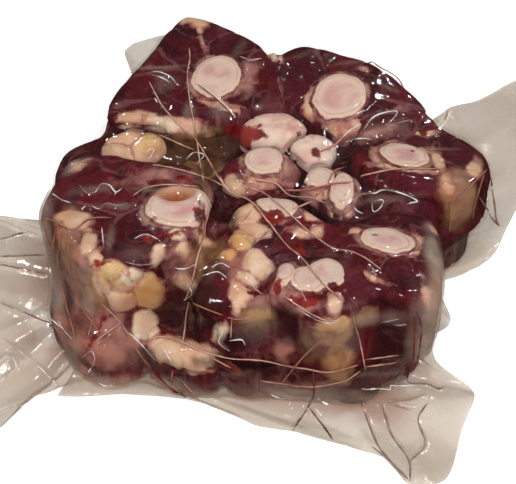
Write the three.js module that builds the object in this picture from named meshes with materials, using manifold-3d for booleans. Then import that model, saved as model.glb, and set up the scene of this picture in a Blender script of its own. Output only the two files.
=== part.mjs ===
// A vacuum pack of raw oxtail: sawn joints of tail stood on end in two layers, pressed into one
// block by clear film, with wings of spare film round its foot.
// Millimetres, +Z up. The origin is under the middle of the outline, wing tips included, at the flat base.
import * as THREE from "three";
import { mergeVertices } from "three/addons/utils/BufferGeometryUtils.js";
import Module from "manifold-3d";

const wasm = await Module();
wasm.setup();

// Driving sizes of the block.
const FILM_GAP = 0.8; // the film's outside stands this far off the meat
const MELD = 13; // how widely the film bridges where two joints meet
const CORE_MELD = 10; // the same over the hidden middle of the block
const EDGE_ROUND = 8; // sawn edges, rounded by the pressure of the film
const CUT_ROUND = 10; // how widely a joint's flat side turns into its oval
const LOWER_TOP = 42; // where the lower layer of joints ends
const PACK_CENTRE = { x: 3, y: 4 };

// Joints of the upper layer. top is the height of the sawn face at its middle, foot that of the underside and
// slope the rise of the face along X and Y. bulges are corners of the outline: direction, height and half width
// in degrees. cuts are flat sides: direction and distance. bones are the ovals of the vertebra's ends in the
// face, from the joint's middle: place, half widths and turn. They stand proud by rise.
const UPPER_JOINTS = [
  { name: "A", x: -36, y: 62, rx: 45, ry: 44, turn: 18, top: 84, foot: 36, slope: [0.02, 0.1], lobe: 0.04,
    cuts: [[151, 30]], bulges: [[-152, 6, 24]], rise: 1.4, bones: [[14, -5, 12.8, 15.5, -15]] },
  { name: "B", x: 48, y: 50, rx: 46, ry: 31, turn: -20, top: 83, foot: 36, slope: [-0.04, 0.12], lobe: 0.03,
    cuts: [[71, 28], [37, 28]], rise: 1.6, bones: [[-5, -8, 13.5, 16.5, -32]] },
  { name: "C", x: 83, y: 5, rx: 37, ry: 31, turn: -6, top: 77, foot: 36, slope: [-0.12, -0.12], lobe: 0.03,
    rise: 1.2, bones: [[-9, -4, 12.6, 9.6, -6]] },
  { name: "D", x: 67, y: -62, rx: 27, ry: 35, turn: 8, top: 77, foot: 34, slope: [-0.06, -0.14], lobe: 0.04,
    cuts: [[-5, 22]], rise: 1.2, bones: [[-6, 6, 11.8, 9.2, -10]] },
  { name: "K", x: -64, y: -34, rx: 42, ry: 38, turn: 6, top: 79, foot: 26, slope: [0.05, -0.02], lobe: 0.05,
    bulges: [[124, 8, 26]], rise: 3, bones: [[25.5, -7, 15.5, 16, 0]],
    bowl: { place: [25, 5.5, 9.5, 7.5, 0], depth: 6.5 } },
  { name: "J", x: 27, y: -80, rx: 24, ry: 20, turn: -10, top: 76, foot: 10, slope: [0, -0.08], lobe: 0.04,
    rise: 2.5, bones: [[-4, -1, 8, 9, 0], [5, 3, 9.5, 9.5, 20], [-15.5, 4, 5.5, 8, 0]] },
  { name: "I", x: 12, y: -44, rx: 30, ry: 21, turn: -8, top: 73, foot: 30, slope: [0, 0.04], lobe: 0.05,
    rise: 3, bones: [[-3, 11, 9.6, 8, -25]] },
  { name: "F", x: 2, y: -4, rx: 22, ry: 16, turn: 0, top: 75, foot: 30, slope: [0, 0.06], lobe: 0.03,
    rise: 3, bones: [[1, 2.4, 10, 9.4, 0]] },
  { name: "H", x: 37, y: -21, rx: 17, ry: 21, turn: 12, top: 76, foot: 30, slope: [0, 0.02], lobe: 0.04,
    rise: 2.5, bones: [[-6, 8, 7, 7.6, 0], [4.5, -1, 5.8, 12.5, -8]] },
  { name: "E", x: 8, y: 23, rx: 19, ry: 14, turn: 0, top: 79, foot: 30, lobe: 0.03, knob: true },
  { name: "G", x: 30, y: 8, rx: 13, ry: 12, turn: 0, top: 78, foot: 30, lobe: 0.02, knob: true },
  { name: "L", x: -10, y: -72, rx: 20, ry: 20, turn: 20, top: 68, foot: 24, slope: [0.05, 0.22], lobe: 0.06 },
  { name: "M", x: -38, y: 22, rx: 30, ry: 26, turn: 0, top: 58, foot: 30, slope: [0.1, 0.1], lobe: 0.02 },
  { name: "N", x: -64, y: 19, rx: 20, ry: 13, turn: 20, top: 73, foot: 30, slope: [0, 0.1], lobe: 0.04, knob: true },
].map(withDefaults);

// Joints and fat of the lower layer, of which only the outer sides show.
const LOWER_JOINTS = [
  { name: "under_K", x: -70, y: -54, rx: 36, ry: 34, turn: 0, top: 34 },
  { name: "fat_lobe", x: -34, y: -78, rx: 25, ry: 17, turn: -8, top: 36, knob: true },
  { name: "under_L", x: 2, y: -72, rx: 28, ry: 27, turn: 0, top: 40 },
  { name: "under_J", x: 40, y: -76, rx: 28, ry: 25, turn: 0, top: LOWER_TOP },
  { name: "under_D", x: 66, y: -57, rx: 24, ry: 31, turn: -18, top: LOWER_TOP },
  { name: "under_C", x: 82, y: 6, rx: 31, ry: 26, turn: 0, top: LOWER_TOP },
  { name: "under_B", x: 52, y: 52, rx: 42, ry: 33, turn: -20, top: LOWER_TOP },
  { name: "under_A", x: -34, y: 60, rx: 42, ry: 40, turn: 15, top: LOWER_TOP },
  { name: "left_side", x: -78, y: 6, rx: 28, ry: 36, turn: 0, top: 62 },
].map(withDefaults);

function withDefaults(joint) {
  return { foot: 0, slope: [0, 0], lobe: 0.05, cuts: [], bulges: [], rise: 0, bones: [], ...joint };
}

const CORE = { x: 4, y: 2, rx: 87, ry: 75, top: 61, round: 14, squareness: 3 };

// Wings of spare film. Each is drawn between a root inside the block and a tip line on the table.
// lift is the height at which it leaves the block, fall the share of that by which it drops (all of it, unless
// given), wave the height of its folds and folds their number.
const WING_THICKNESS = 1.2; // two layers of film with juice between, drawn thicker than they are
const WING_REST = 0.7; // underside clearance over the table
const WINGS = [
  { name: "left", root: [[-84, 14], [-76, -74]], lift: 13, wave: 5, folds: 2.6, across: 20, out: 8, curl: 5,
    tips: [[-121, 22], [-148, 30], [-180, 33], [-179, -50], [-171, -126], [-128, -124], [-112, -99], [-96, -90]] },
  { name: "right", root: [[72, 74], [84, -20]], lift: 15, wave: 5, folds: 2.4, across: 18, out: 8, curl: 6,
    tips: [[111, 113], [131, 131], [176, 145], [180, 70], [149, 36], [138, 14], [125, -10], [108, -16]] },
  { name: "front", root: [[84, -24], [72, -70], [50, -84], [-62, -76]], lift: 11, wave: 3.5, folds: 5.3, across: 48,
    out: 8, curl: 4, tips: [[97, -29], [101, -46], [91, -58], [90, -74], [107, -91], [107, -98], [100, -113],
      [88, -143], [73, -149], [60, -131], [40, -125], [20, -120], [2, -115], [-26, -102], [-62, -97]] },
  { name: "back_ear", root: [[-68, 52], [-38, 98]], lift: 58, fall: 0.04, wave: 2, folds: 1.3, across: 10, out: 4,
    curl: 8, tips: [[-84, 74], [-79, 98], [-74, 114], [-64, 122], [-50, 126], [-36, 120]] },
  { name: "back_hem", root: [[-62, 76], [80, 66]], lift: 6, wave: 2, folds: 3.4, across: 18, out: 3, curl: 2,
    tips: [[-92, 96], [-40, 122], [30, 117], [80, 106], [112, 88]] },
];

// Fineness of the mesh.
const SLIVER = 0.05; // joins leave slivers, which are merged below this size
const TOP_CELLS = 44;
const SHOULDER_ROWS = 5;
const SIDE_ROWS = 8;
const SPINE_INSET = 17; // how far inside the outline the shoulder turns
const SPINE_DROP = 22; // and how far under the top
const MARCH_START = 70;
const MARCH_STEPS = 90;
const MARCH_SHARE = 0.8;

const radians = (degrees) => (degrees * Math.PI) / 180;
const mix = (a, b, t) => a + (b - a) * t;
const smoothstep = (from, to, value) => {
  const t = Math.min(1, Math.max(0, (value - from) / (to - from)));
  return t * t * (3 - 2 * t);
};

// Smallest of two distances, with the corner between them filled over a width.
function meld(a, b, width) {
  const share = Math.max(width - Math.abs(a - b), 0) / width;
  return Math.min(a, b) - (share * share * width) / 4;
}

// Largest of two distances, with the edge between them rounded.
function roundedEdge(a, b, round) {
  const x = a + round;
  const y = b + round;
  return Math.hypot(Math.max(x, 0), Math.max(y, 0)) + Math.min(Math.max(x, y), 0) - round;
}

// Radius of a joint's lobed outline in a direction, with its corners added and its flat sides cut.
function outlineRadius(joint, angle) {
  const local = angle - radians(joint.turn);
  const oval = 1 / Math.hypot(Math.cos(local) / joint.rx, Math.sin(local) / joint.ry);
  const lobes = Math.cos(3 * local + joint.x) + 0.6 * Math.cos(5 * local + joint.y);
  let radius = oval * (1 + joint.lobe * lobes);
  for (const [middle, rise, half] of joint.bulges) {
    const turn = angle - radians(middle);
    const away = Math.atan2(Math.sin(turn), Math.cos(turn)) / radians(half);
    radius += rise * Math.exp(-away * away);
  }
  for (const [middle, reach] of joint.cuts) {
    const toward = Math.max(Math.cos(angle - radians(middle)), 0.15);
    radius = meld(radius, reach / toward, CUT_ROUND);
  }
  return radius;
}

// Distance from a place to the nearest of some ovals in the plan, below zero inside one.
function ovalDistance(x, y, ovals) {
  const distances = ovals.map(([atX, atY, rx, ry, turn]) => {
    const cos = Math.cos(radians(turn));
    const sin = Math.sin(radians(turn));
    const u = ((x - atX) * cos + (y - atY) * sin) / rx;
    const v = ((y - atY) * cos - (x - atX) * sin) / ry;
    return (Math.hypot(u, v) - 1) * Math.min(rx, ry);
  });
  return Math.min(...distances);
}

// Relief of a sawn face: the vertebra's ends stand proud, and one of them holds a hollow.
function faceRelief(joint, dx, dy) {
  if (!joint.bones.length) return 0;
  const boss = joint.rise * (1 - smoothstep(-2.5, 5, ovalDistance(dx, dy, joint.bones)));
  const hollow = joint.bowl ? joint.bowl.depth * (1 - smoothstep(-6, 1, ovalDistance(dx, dy, [joint.bowl.place]))) : 0;
  return boss - hollow;
}

// Distance from a point to one joint, below zero inside it.
function jointDistance(joint, x, y, z) {
  const dx = x - joint.x;
  const dy = y - joint.y;
  const side = Math.hypot(dx, dy) - outlineRadius(joint, Math.atan2(dy, dx));
  const [alongX, alongY] = joint.slope;
  const face = joint.top + alongX * dx + alongY * dy + faceRelief(joint, dx, dy);
  const above = (z - face) / Math.hypot(1, alongX, alongY);
  const round = joint.knob ? 0.75 * Math.min(joint.rx, joint.ry) : EDGE_ROUND;
  return roundedEdge(side, Math.max(above, joint.foot - z), round);
}

// Distance to the hidden middle of the block, a squarish pad that carries the film over the gaps.
function coreDistance(x, y, z) {
  const share = (Math.abs((x - CORE.x) / CORE.rx) ** CORE.squareness
    + Math.abs((y - CORE.y) / CORE.ry) ** CORE.squareness) ** (1 / CORE.squareness);
  const side = (share - 1) * Math.min(CORE.rx, CORE.ry);
  return roundedEdge(side, z - CORE.top, CORE.round);
}

// Distance to the film that wraps the whole block.
function packDistance(x, y, z) {
  let distance = coreDistance(x, y, z);
  for (const joint of LOWER_JOINTS) distance = meld(distance, jointDistance(joint, x, y, z), CORE_MELD);
  for (const joint of UPPER_JOINTS) distance = meld(distance, jointDistance(joint, x, y, z), MELD);
  return distance - FILM_GAP;
}

// The outermost point of the pack on the line from a point along a direction, met from outside.
function outermost(from, direction) {
  let reach = MARCH_START;
  for (let step = 0; step < MARCH_STEPS; step += 1) {
    const distance = packDistance(
      from[0] + direction[0] * reach, from[1] + direction[1] * reach, from[2] + direction[2] * reach);
    if (distance < 0.02 || reach <= 0) break;
    reach -= distance * MARCH_SHARE;
  }
  return from.map((value, axis) => value + direction[axis] * Math.max(reach, 0));
}

// How far the block reaches in each of a number of directions, smoothed, less the inset of the shoulder.
function spineRadii(count) {
  const level = LOWER_TOP + 12;
  const raw = Array.from({ length: count }, (_, index) => {
    const angle = (index / count) * 2 * Math.PI;
    const way = [Math.cos(angle), Math.sin(angle), 0];
    const start = [PACK_CENTRE.x + 60 * way[0], PACK_CENTRE.y + 60 * way[1], level];
    const [x, y] = outermost(start, way);
    return Math.hypot(x - PACK_CENTRE.x, y - PACK_CENTRE.y);
  });
  const span = Math.round(count / 40);
  return raw.map((_, index) => {
    let sum = 0;
    for (let k = -span; k <= span; k += 1) sum += raw[(index + k + count) % count];
    return sum / (2 * span + 1) - SPINE_INSET;
  });
}

const SPINE_COUNT = 240;
const SPINE = spineRadii(SPINE_COUNT);

function spineRadius(angle) {
  const place = ((angle / (2 * Math.PI) + 1) % 1) * SPINE_COUNT;
  const low = Math.floor(place);
  return mix(SPINE[low % SPINE_COUNT], SPINE[(low + 1) % SPINE_COUNT], place - low);
}

// A place on the square from -1 to 1 taken to the round footprint inside the shoulder.
function footprint(a, b) {
  const u = a * Math.sqrt(1 - (b * b) / 2);
  const v = b * Math.sqrt(1 - (a * a) / 2);
  const radius = Math.hypot(u, v) * spineRadius(Math.atan2(v, u));
  const angle = Math.atan2(v, u);
  return [PACK_CENTRE.x + radius * Math.cos(angle), PACK_CENTRE.y + radius * Math.sin(angle)];
}

// Square coordinates of the footprint's rim, once round.
function rimPlaces() {
  const places = [];
  const step = 2 / TOP_CELLS;
  for (let k = 0; k < TOP_CELLS; k += 1) places.push([-1 + k * step, -1]);
  for (let k = 0; k < TOP_CELLS; k += 1) places.push([1, -1 + k * step]);
  for (let k = 0; k < TOP_CELLS; k += 1) places.push([1 - k * step, 1]);
  for (let k = 0; k < TOP_CELLS; k += 1) places.push([-1, 1 - k * step]);
  return places;
}

// The block as a closed mesh: a grid over the top, rows round the shoulder and sides, and a flat base.
// Each cell of the grid is split along its leveller diagonal, so that creases run clean along the steep walls.
function blockGeometry() {
  const points = [];
  const faces = [];
  const side = TOP_CELLS + 1;
  const step = 2 / TOP_CELLS;
  for (let j = 0; j < side; j += 1) {
    for (let i = 0; i < side; i += 1) {
      const [x, y] = footprint(-1 + i * step, -1 + j * step);
      points.push(outermost([x, y, 40], [0, 0, 1]));
    }
  }
  const gridIndex = (a, b) => Math.round((b + 1) / step) * side + Math.round((a + 1) / step);
  for (let j = 0; j < TOP_CELLS; j += 1) {
    for (let i = 0; i < TOP_CELLS; i += 1) {
      const corner = j * side + i;
      const cell = [corner, corner + 1, corner + 1 + side, corner + side];
      const climb = (a, b) => Math.abs(points[cell[a]][2] - points[cell[b]][2]);
      const flip = climb(1, 3) < climb(0, 2);
      faces.push(flip ? [cell[0], cell[1], cell[3]] : [cell[0], cell[1], cell[2]]);
      faces.push(flip ? [cell[1], cell[2], cell[3]] : [cell[0], cell[2], cell[3]]);
    }
  }
  const rim = rimPlaces();
  let row = rim.map(([a, b]) => gridIndex(a, b));
  const spineHeights = row.map((index) => points[index][2] - SPINE_DROP);
  const addRow = (pointFor) => {
    const next = rim.map((place, index) => {
      const [x, y] = footprint(...place);
      const away = Math.hypot(x - PACK_CENTRE.x, y - PACK_CENTRE.y);
      const outward = [(x - PACK_CENTRE.x) / away, (y - PACK_CENTRE.y) / away];
      points.push(pointFor(x, y, outward, spineHeights[index]));
      return points.length - 1;
    });
    row.forEach((index, k) => {
      const after = (k + 1) % row.length;
      faces.push([index, next[k], next[after]], [index, next[after], row[after]]);
    });
    row = next;
  };
  for (let k = 1; k <= SHOULDER_ROWS; k += 1) {
    const rise = radians(90 * (1 - k / SHOULDER_ROWS));
    addRow((x, y, outward, height) =>
      outermost([x, y, height], [outward[0] * Math.cos(rise), outward[1] * Math.cos(rise), Math.sin(rise)]));
  }
  for (let k = 1; k <= SIDE_ROWS; k += 1) {
    const share = k / SIDE_ROWS;
    addRow((x, y, outward, height) => outermost([x, y, height * (1 - share)], [...outward, 0]));
  }
  points.push([PACK_CENTRE.x, PACK_CENTRE.y, 0]);
  const middle = points.length - 1;
  row.forEach((index, k) => faces.push([index, middle, row[(k + 1) % row.length]]));
  return meshOf(points, faces);
}

// A smooth line through points given in the plan, read at a share of its length.
function planLine(points) {
  const curve = new THREE.CatmullRomCurve3(points.map(([x, y]) => new THREE.Vector3(x, y, 0)), false, "centripetal");
  return (share) => curve.getPoint(share);
}

// A wing as a thin wavy solid: the same grid above and below, closed round its edge.
function wingGeometry(wing) {
  const root = planLine(wing.root);
  const tip = planLine(wing.tips);
  const layers = [WING_THICKNESS / 2, -WING_THICKNESS / 2];
  const width = wing.across + 1;
  const points = [];
  for (const offset of layers) {
    for (let j = 0; j <= wing.out; j += 1) {
      for (let i = 0; i <= wing.across; i += 1) {
        const s = i / wing.across;
        const t = j / wing.out;
        const place = root(s).lerp(tip(s), t);
        points.push([place.x, place.y, wingHeight(wing, s, t) + offset]);
      }
    }
  }
  const faces = [];
  const lower = width * (wing.out + 1);
  const clockwise = windsClockwise(wing);
  const addFace = (a, b, c) => faces.push(clockwise ? [a, c, b] : [a, b, c]);
  for (let j = 0; j < wing.out; j += 1) {
    for (let i = 0; i < wing.across; i += 1) {
      const a = j * width + i;
      const cell = [a, a + 1, a + 1 + width, a + width];
      addFace(cell[0], cell[1], cell[2]);
      addFace(cell[0], cell[2], cell[3]);
      addFace(cell[0] + lower, cell[2] + lower, cell[1] + lower);
      addFace(cell[0] + lower, cell[3] + lower, cell[2] + lower);
    }
  }
  const edge = [];
  for (let i = 0; i < wing.across; i += 1) edge.push(i);
  for (let j = 0; j < wing.out; j += 1) edge.push(j * width + wing.across);
  for (let i = wing.across; i > 0; i -= 1) edge.push(wing.out * width + i);
  for (let j = wing.out; j > 0; j -= 1) edge.push(j * width);
  edge.forEach((index, k) => {
    const after = edge[(k + 1) % edge.length];
    addFace(index, index + lower, after + lower);
    addFace(index, after + lower, after);
  });
  return meshOf(points, faces);
}

// Height of the middle of a wing: it drops from the block, then lies in folds that curl up at the tip.
function wingHeight(wing, s, t) {
  const drop = wing.lift * (1 - (wing.fall ?? 1) * smoothstep(0, 0.62, t));
  const folds = wing.wave * smoothstep(0.15, 0.6, t) * (0.5 + 0.5 * Math.sin(2 * Math.PI * wing.folds * s + 2.4 * t));
  const curl = wing.curl * smoothstep(0.45, 1, t) * (0.55 + 0.45 * Math.sin(5 * s + wing.tips[0][0]));
  return WING_REST + WING_THICKNESS / 2 + drop + folds + curl;
}

// True if going along the root and then out to the tips turns clockwise, seen from above.
function windsClockwise(wing) {
  const [[ax, ay], [bx, by]] = wing.root;
  const [tx, ty] = wing.tips[wing.tips.length - 2];
  return (bx - ax) * (ty - ay) - (by - ay) * (tx - ax) < 0;
}

function meshOf(points, faces) {
  const geometry = new THREE.BufferGeometry();
  geometry.setAttribute("position", new THREE.Float32BufferAttribute(points.flat(), 3));
  geometry.setIndex(faces.flat());
  return geometry;
}

function solidOf(geometry) {
  const merged = mergeVertices(geometry, 1e-3);
  return new wasm.Manifold(new wasm.Mesh({
    numProp: 3,
    vertProperties: merged.attributes.position.array,
    triVerts: new Uint32Array(merged.index.array),
  }));
}

function geometryOf(solid) {
  const mesh = solid.getMesh();
  const geometry = new THREE.BufferGeometry();
  geometry.setAttribute("position", new THREE.BufferAttribute(mesh.vertProperties, mesh.numProp));
  geometry.setIndex(new THREE.BufferAttribute(mesh.triVerts, 1));
  return geometry;
}

// Where two wings cross they can shut in a small hollow, so only the largest shell is kept, which fills it.
function outerShell(solid) {
  return solid.decompose().reduce((largest, shell) => (shell.volume() > largest.volume() ? shell : largest));
}

let pack = solidOf(blockGeometry());
for (const wing of WINGS) pack = pack.add(solidOf(wingGeometry(wing)));

const packGeometry = geometryOf(outerShell(solidOf(geometryOf(pack.simplify(SLIVER)))));
packGeometry.computeVertexNormals();
const packedMeat = new THREE.MeshStandardMaterial({ color: 0x561f24, roughness: 0.25, metalness: 0 });
const packMesh = new THREE.Mesh(packGeometry, packedMeat);
packMesh.name = "vacuum_pack";

const oxtail = new THREE.Group();
oxtail.add(packMesh);

export default oxtail;
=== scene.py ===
# %% [markdown]
# # A vacuum pack of raw oxtail
# The real object is a tail sawn into joints, stood on end in two layers and shut in a clear bag with
# the air drawn out. The bag clings to every joint, bridges the gaps between them and lies on the
# table in wings round the block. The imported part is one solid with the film's outer form. This
# lesson puts the film and its contents in that solid's place, in the same frame and at true size.

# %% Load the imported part
import itertools
import math

import bpy
import numpy as np
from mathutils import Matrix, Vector
from mathutils.bvhtree import BVHTree
from mathutils.kdtree import KDTree


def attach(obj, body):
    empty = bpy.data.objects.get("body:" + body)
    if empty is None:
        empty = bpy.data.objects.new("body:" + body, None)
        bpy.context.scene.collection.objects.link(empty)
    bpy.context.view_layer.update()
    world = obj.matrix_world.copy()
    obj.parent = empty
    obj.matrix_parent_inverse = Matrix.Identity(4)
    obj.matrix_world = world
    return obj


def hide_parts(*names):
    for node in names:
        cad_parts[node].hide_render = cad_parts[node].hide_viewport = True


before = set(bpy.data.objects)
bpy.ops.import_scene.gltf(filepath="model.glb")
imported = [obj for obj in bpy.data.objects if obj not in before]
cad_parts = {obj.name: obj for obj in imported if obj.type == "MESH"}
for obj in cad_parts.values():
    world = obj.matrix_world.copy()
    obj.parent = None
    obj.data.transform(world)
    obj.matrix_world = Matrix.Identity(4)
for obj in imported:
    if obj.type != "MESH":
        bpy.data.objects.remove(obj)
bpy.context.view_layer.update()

# %% [markdown]
# ## The camera
# The photograph looks down on the pack at about 47 degrees. A pixel is half a millimetre where the
# camera looks. The camera comes first because the creases of the film are found later by casting
# rays from it, so they lie on the film where the photograph shows them, and still do from any side.

# %% Camera
PHOTO_WIDE, PHOTO_HIGH = 516, 484
LOOK_DOWN = math.radians(47)
CAMERA_AWAY = 0.62
METRES_PER_PIXEL = 0.0005
LOOK_AT = Vector((0, -0.037, 0.055))

lens = bpy.data.cameras.new("photo_camera")
lens.sensor_width = 36
lens.lens = lens.sensor_width * CAMERA_AWAY / (METRES_PER_PIXEL * PHOTO_WIDE)
camera = bpy.data.objects.new("photo_camera", lens)
camera.location = LOOK_AT + CAMERA_AWAY * Vector((0, -math.cos(LOOK_DOWN), math.sin(LOOK_DOWN)))
camera.rotation_euler = (math.pi / 2 - LOOK_DOWN, 0, 0)
bpy.context.scene.collection.objects.link(camera)
bpy.context.scene.camera = camera
print("lens in millimetres:", round(lens.lens, 1))

# %% [markdown]
# ## Sizes of the block
# Shapes are worked out in millimetres and turned to metres when a mesh is made. Each joint of tail
# is an oval with a few lobes, a sawn face on top, and the vertebra's end in that face. The ovals
# given inside a joint are measured from its middle: x, y, half width, half depth and turn. A cut is
# a direction and a reach, and a bulge is a direction, a rise and a half width in degrees.

# %% Sizes
FILM_GAP = 0.8
MELD = 13
CORE_MELD = 10
EDGE_ROUND = 8
CUT_ROUND = 10
LOWER_TOP = 42
PACK_CENTRE = np.array([3.0, 4.0])
CORE = dict(x=4, y=2, rx=87, ry=75, top=61, round=14, squareness=3)

# %% Joints of the upper layer
UPPER_JOINTS = [
    dict(name="A", x=-36, y=62, rx=45, ry=44, turn=18, top=84, foot=36, slope=(0.02, 0.1), lobe=0.04,
         cuts=[(151, 30)], bulges=[(-152, 6, 24)], rise=1.4, bones=[(14, -5, 12.8, 15.5, -15)], muscles=9,
         fats=[(17, -25, 12, 2.6, -24), (1, 40, 7, 3, 10), (-6, -37, 12, 3.2, -6), (-27, -34, 11, 5.5, 0),
               (5, 26, 0.8, 6, 10)], pinks=[(30, -6, 4, 12, -12), (-30, 16, 2, 7, 30)]),
    dict(name="B", x=48, y=50, rx=46, ry=31, turn=-20, top=83, foot=36, slope=(-0.04, 0.12), lobe=0.03,
         cuts=[(71, 28), (37, 28)], rise=1.6, bones=[(-5, -8, 13.5, 16.5, -32)], muscles=8,
         fats=[(-20.5, -12, 2.8, 10, -12), (-38, 24, 2.4, 7, 8), (-3, -27, 12, 3.4, 6), (9, 14, 3, 1.4, -30)],
         pinks=[(22, -16, 7, 1.6, 20), (-38, -2, 1.6, 9, 4)]),
    dict(name="C", x=83, y=5, rx=37, ry=31, turn=-6, top=77, foot=36, slope=(-0.12, -0.12), lobe=0.03,
         rise=1.2, bones=[(-9, -4, 12.6, 9.6, -6)], muscles=7,
         fats=[(-10, -14, 14, 2.4, -4), (-24, -6, 2.6, 7, 0), (2, 19, 9, 3.4, 0), (27, -9, 3.4, 8, -25),
               (11, -21, 2, 4, 0), (8, -4, 3, 8, 10)],
         bloods=[(-4, -0.4, 1, 0.9, 0), (3, 18, 1.6, 3, 0)]),
    dict(name="D", x=67, y=-62, rx=27, ry=35, turn=8, top=77, foot=34, slope=(-0.06, -0.14), lobe=0.04,
         cuts=[(-5, 22)], rise=1.2, bones=[(-4.9, 6, 12.9, 9.2, -10)], muscles=7,
         fats=[(8, 4, 2.6, 8, -10), (-19, 12, 8, 2, -15), (19, 18, 2.6, 3, 0), (-14, -20, 5, 1, -35)],
         bloods=[(-10, 8, 2, 0.7, 0)]),
    dict(name="K", x=-64, y=-34, rx=42, ry=38, turn=6, top=79, foot=26, slope=(0.05, -0.02), lobe=0.05,
         bulges=[(124, 8, 26)], rise=3, bones=[(26.5, -4, 16.8, 13.4, 0)], bowl=(24, 5, 10.4, 7, 0),
         bowl_depth=6.5, muscles=7,
         fats=[(-27, 37, 7, 3.4, 20), (-25, -8, 8.5, 4.6, -5), (-17, -25, 3.6, 8, 0)],
         bloods=[(36, -9, 2.2, 6, 0), (14, -13, 0.9, 0.8, 0), (24, -21, 3, 1, 10)],
         pinks=[(14, 19, 18, 5, 4), (40, 4, 3, 12, 0)]),
    dict(name="J", x=27, y=-80, rx=24, ry=20, turn=-10, top=76, foot=10, slope=(0, -0.08), lobe=0.04,
         rise=2.5, bones=[(-4, -1, 8, 9, 0), (5, 3, 9.5, 9.5, 20), (-15.5, 4, 5.5, 8, 0)], muscles=5,
         fats=[(8, -13, 3.4, 4.5, 0)], bloods=[(-3, -11.5, 6, 2.4, 0), (9, -7, 3, 1.2, -30)],
         pinks=[(-12, -8, 6, 5, 0)]),
    dict(name="I", x=12, y=-44, rx=30, ry=21, turn=-8, top=73, foot=30, slope=(0, 0.04), lobe=0.05, gap=1.5,
         rise=3, bones=[(-2, 13.5, 10.5, 8, -20)], muscles=5,
         fats=[(-19, 9, 9, 7, 0), (-14, -1, 8, 5, -30), (15, 8, 4, 3, 0), (9, -3, 5, 2.6, -20)],
         bloods=[(-4.5, 5, 4.8, 3.8, 0)]),
    dict(name="F", x=2, y=-4, rx=22, ry=16, turn=0, top=75, foot=30, slope=(0, 0.06), lobe=0.03, gap=1.7,
         rise=3, bones=[(1, 3, 10, 10.4, 0)], muscles=4,
         fats=[(-4, -9.5, 14, 3.6, 4), (-15, -10, 6, 5, 20)], pinks=[(15, -1, 6, 13, 12)]),
    dict(name="H", x=37, y=-21, rx=17, ry=21, turn=12, top=76, foot=30, slope=(0, 0.02), lobe=0.04, gap=1.7,
         rise=2.5, bones=[(-6, 8, 8, 7.6, 0), (4.5, -1, 5.8, 12.5, -8)], muscles=4,
         fats=[(-5, 0, 5, 6, 0), (4, -13, 6, 3, 0)], pinks=[(-12, -2, 5, 9, 0), (10, 4, 4, 9, 0)]),
    dict(name="E", x=8.5, y=26.5, rx=19, ry=14, turn=0, top=79, foot=30, lobe=0.03, knob=True, gap=1.7,
         bloods=[(-16, -7, 5, 5, 20), (-8.5, -4, 1.6, 4, -35), (13, -8, 2, 2.4, 0)]),
    dict(name="G", x=28.5, y=11.5, rx=13, ry=12, turn=0, top=78, foot=30, lobe=0.02, knob=True, gap=1.5,
         bloods=[(1.5, -6, 1.6, 2.2, 0)]),
    dict(name="L", x=-10, y=-72, rx=20, ry=20, turn=20, top=68, foot=24, slope=(0.05, 0.22), lobe=0.06,
         muscles=4, fats=[(9, 7, 7, 9, 0), (3, 17, 7, 5, 0), (0, -7, 3, 7, 0)],
         bloods=[(13, -4, 4, 8, 0)]),
    dict(name="M", x=-36, y=22, rx=34, ry=30, turn=0, top=60.5, foot=30, slope=(0.02, 0.02), lobe=0.02,
         low=True),
    dict(name="N", x=-64, y=19, rx=20, ry=13, turn=20, top=73, foot=30, slope=(0, 0.1), lobe=0.04,
         knob=True, fats=[(0, 0, 24, 17, 20)]),
]
print(len(UPPER_JOINTS), "pieces in the upper layer")

# %% Joints of the lower layer
LOWER_JOINTS = [
    dict(name="under_K", x=-70, y=-54, rx=36, ry=34, turn=0, top=34),
    dict(name="fat_lobe", x=-34, y=-78, rx=25, ry=17, turn=-8, top=36),
    dict(name="under_L", x=2, y=-72, rx=28, ry=27, turn=0, top=40),
    dict(name="under_J", x=40, y=-76, rx=28, ry=25, turn=0, top=LOWER_TOP),
    dict(name="under_D", x=66, y=-57, rx=24, ry=31, turn=-18, top=LOWER_TOP),
    dict(name="under_C", x=82, y=6, rx=31, ry=26, turn=0, top=LOWER_TOP),
    dict(name="under_B", x=52, y=52, rx=42, ry=33, turn=-20, top=LOWER_TOP),
    dict(name="under_A", x=-34, y=60, rx=42, ry=40, turn=15, top=LOWER_TOP),
    dict(name="left_side", x=-78, y=6, rx=28, ry=36, turn=0, top=62),
]
MIDDLE = dict(name="middle", x=4, y=-4, rx=52, ry=46, turn=0, top=56, low=True)
DEFAULTS = dict(foot=0, slope=(0, 0), lobe=0.05, rise=0, bones=[], fats=[], bloods=[], pinks=[], muscles=6,
                cuts=[], bulges=[], knob=False, low=False, gap=0.9)
UPPER_JOINTS = [{**DEFAULTS, **joint} for joint in UPPER_JOINTS]
LOWER_JOINTS = [{**DEFAULTS, **joint} for joint in LOWER_JOINTS]
MIDDLE = {**DEFAULTS, **MIDDLE}
JOINTS = {joint["name"]: joint for joint in UPPER_JOINTS + LOWER_JOINTS}
print(len(LOWER_JOINTS), "pieces in the lower layer")

# %% [markdown]
# ## Distances instead of outlines
# A film drawn tight over a heap is the surface at a small distance from everything in it. So each
# joint is described by a function that gives the distance from any point to it, below zero inside.
# Taking the smaller of two distances joins two shapes, and filling the corner between them bridges
# the gap the way film does. NumPy works this out for thousands of points at once.

# %% Distance to a joint
def smoothstep(low, high, value):
    share = np.clip((value - low) / (high - low), 0, 1)
    return share * share * (3 - 2 * share)


def bell(away, width):
    """One at nought, and down to nearly nothing at twice the width."""
    return np.exp(-(away / width) ** 2)


def meld(a, b, width):
    """The smaller of two distances, with the corner between them filled over a width."""
    share = np.maximum(width - np.abs(a - b), 0) / width
    return np.minimum(a, b) - share * share * width / 4


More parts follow.
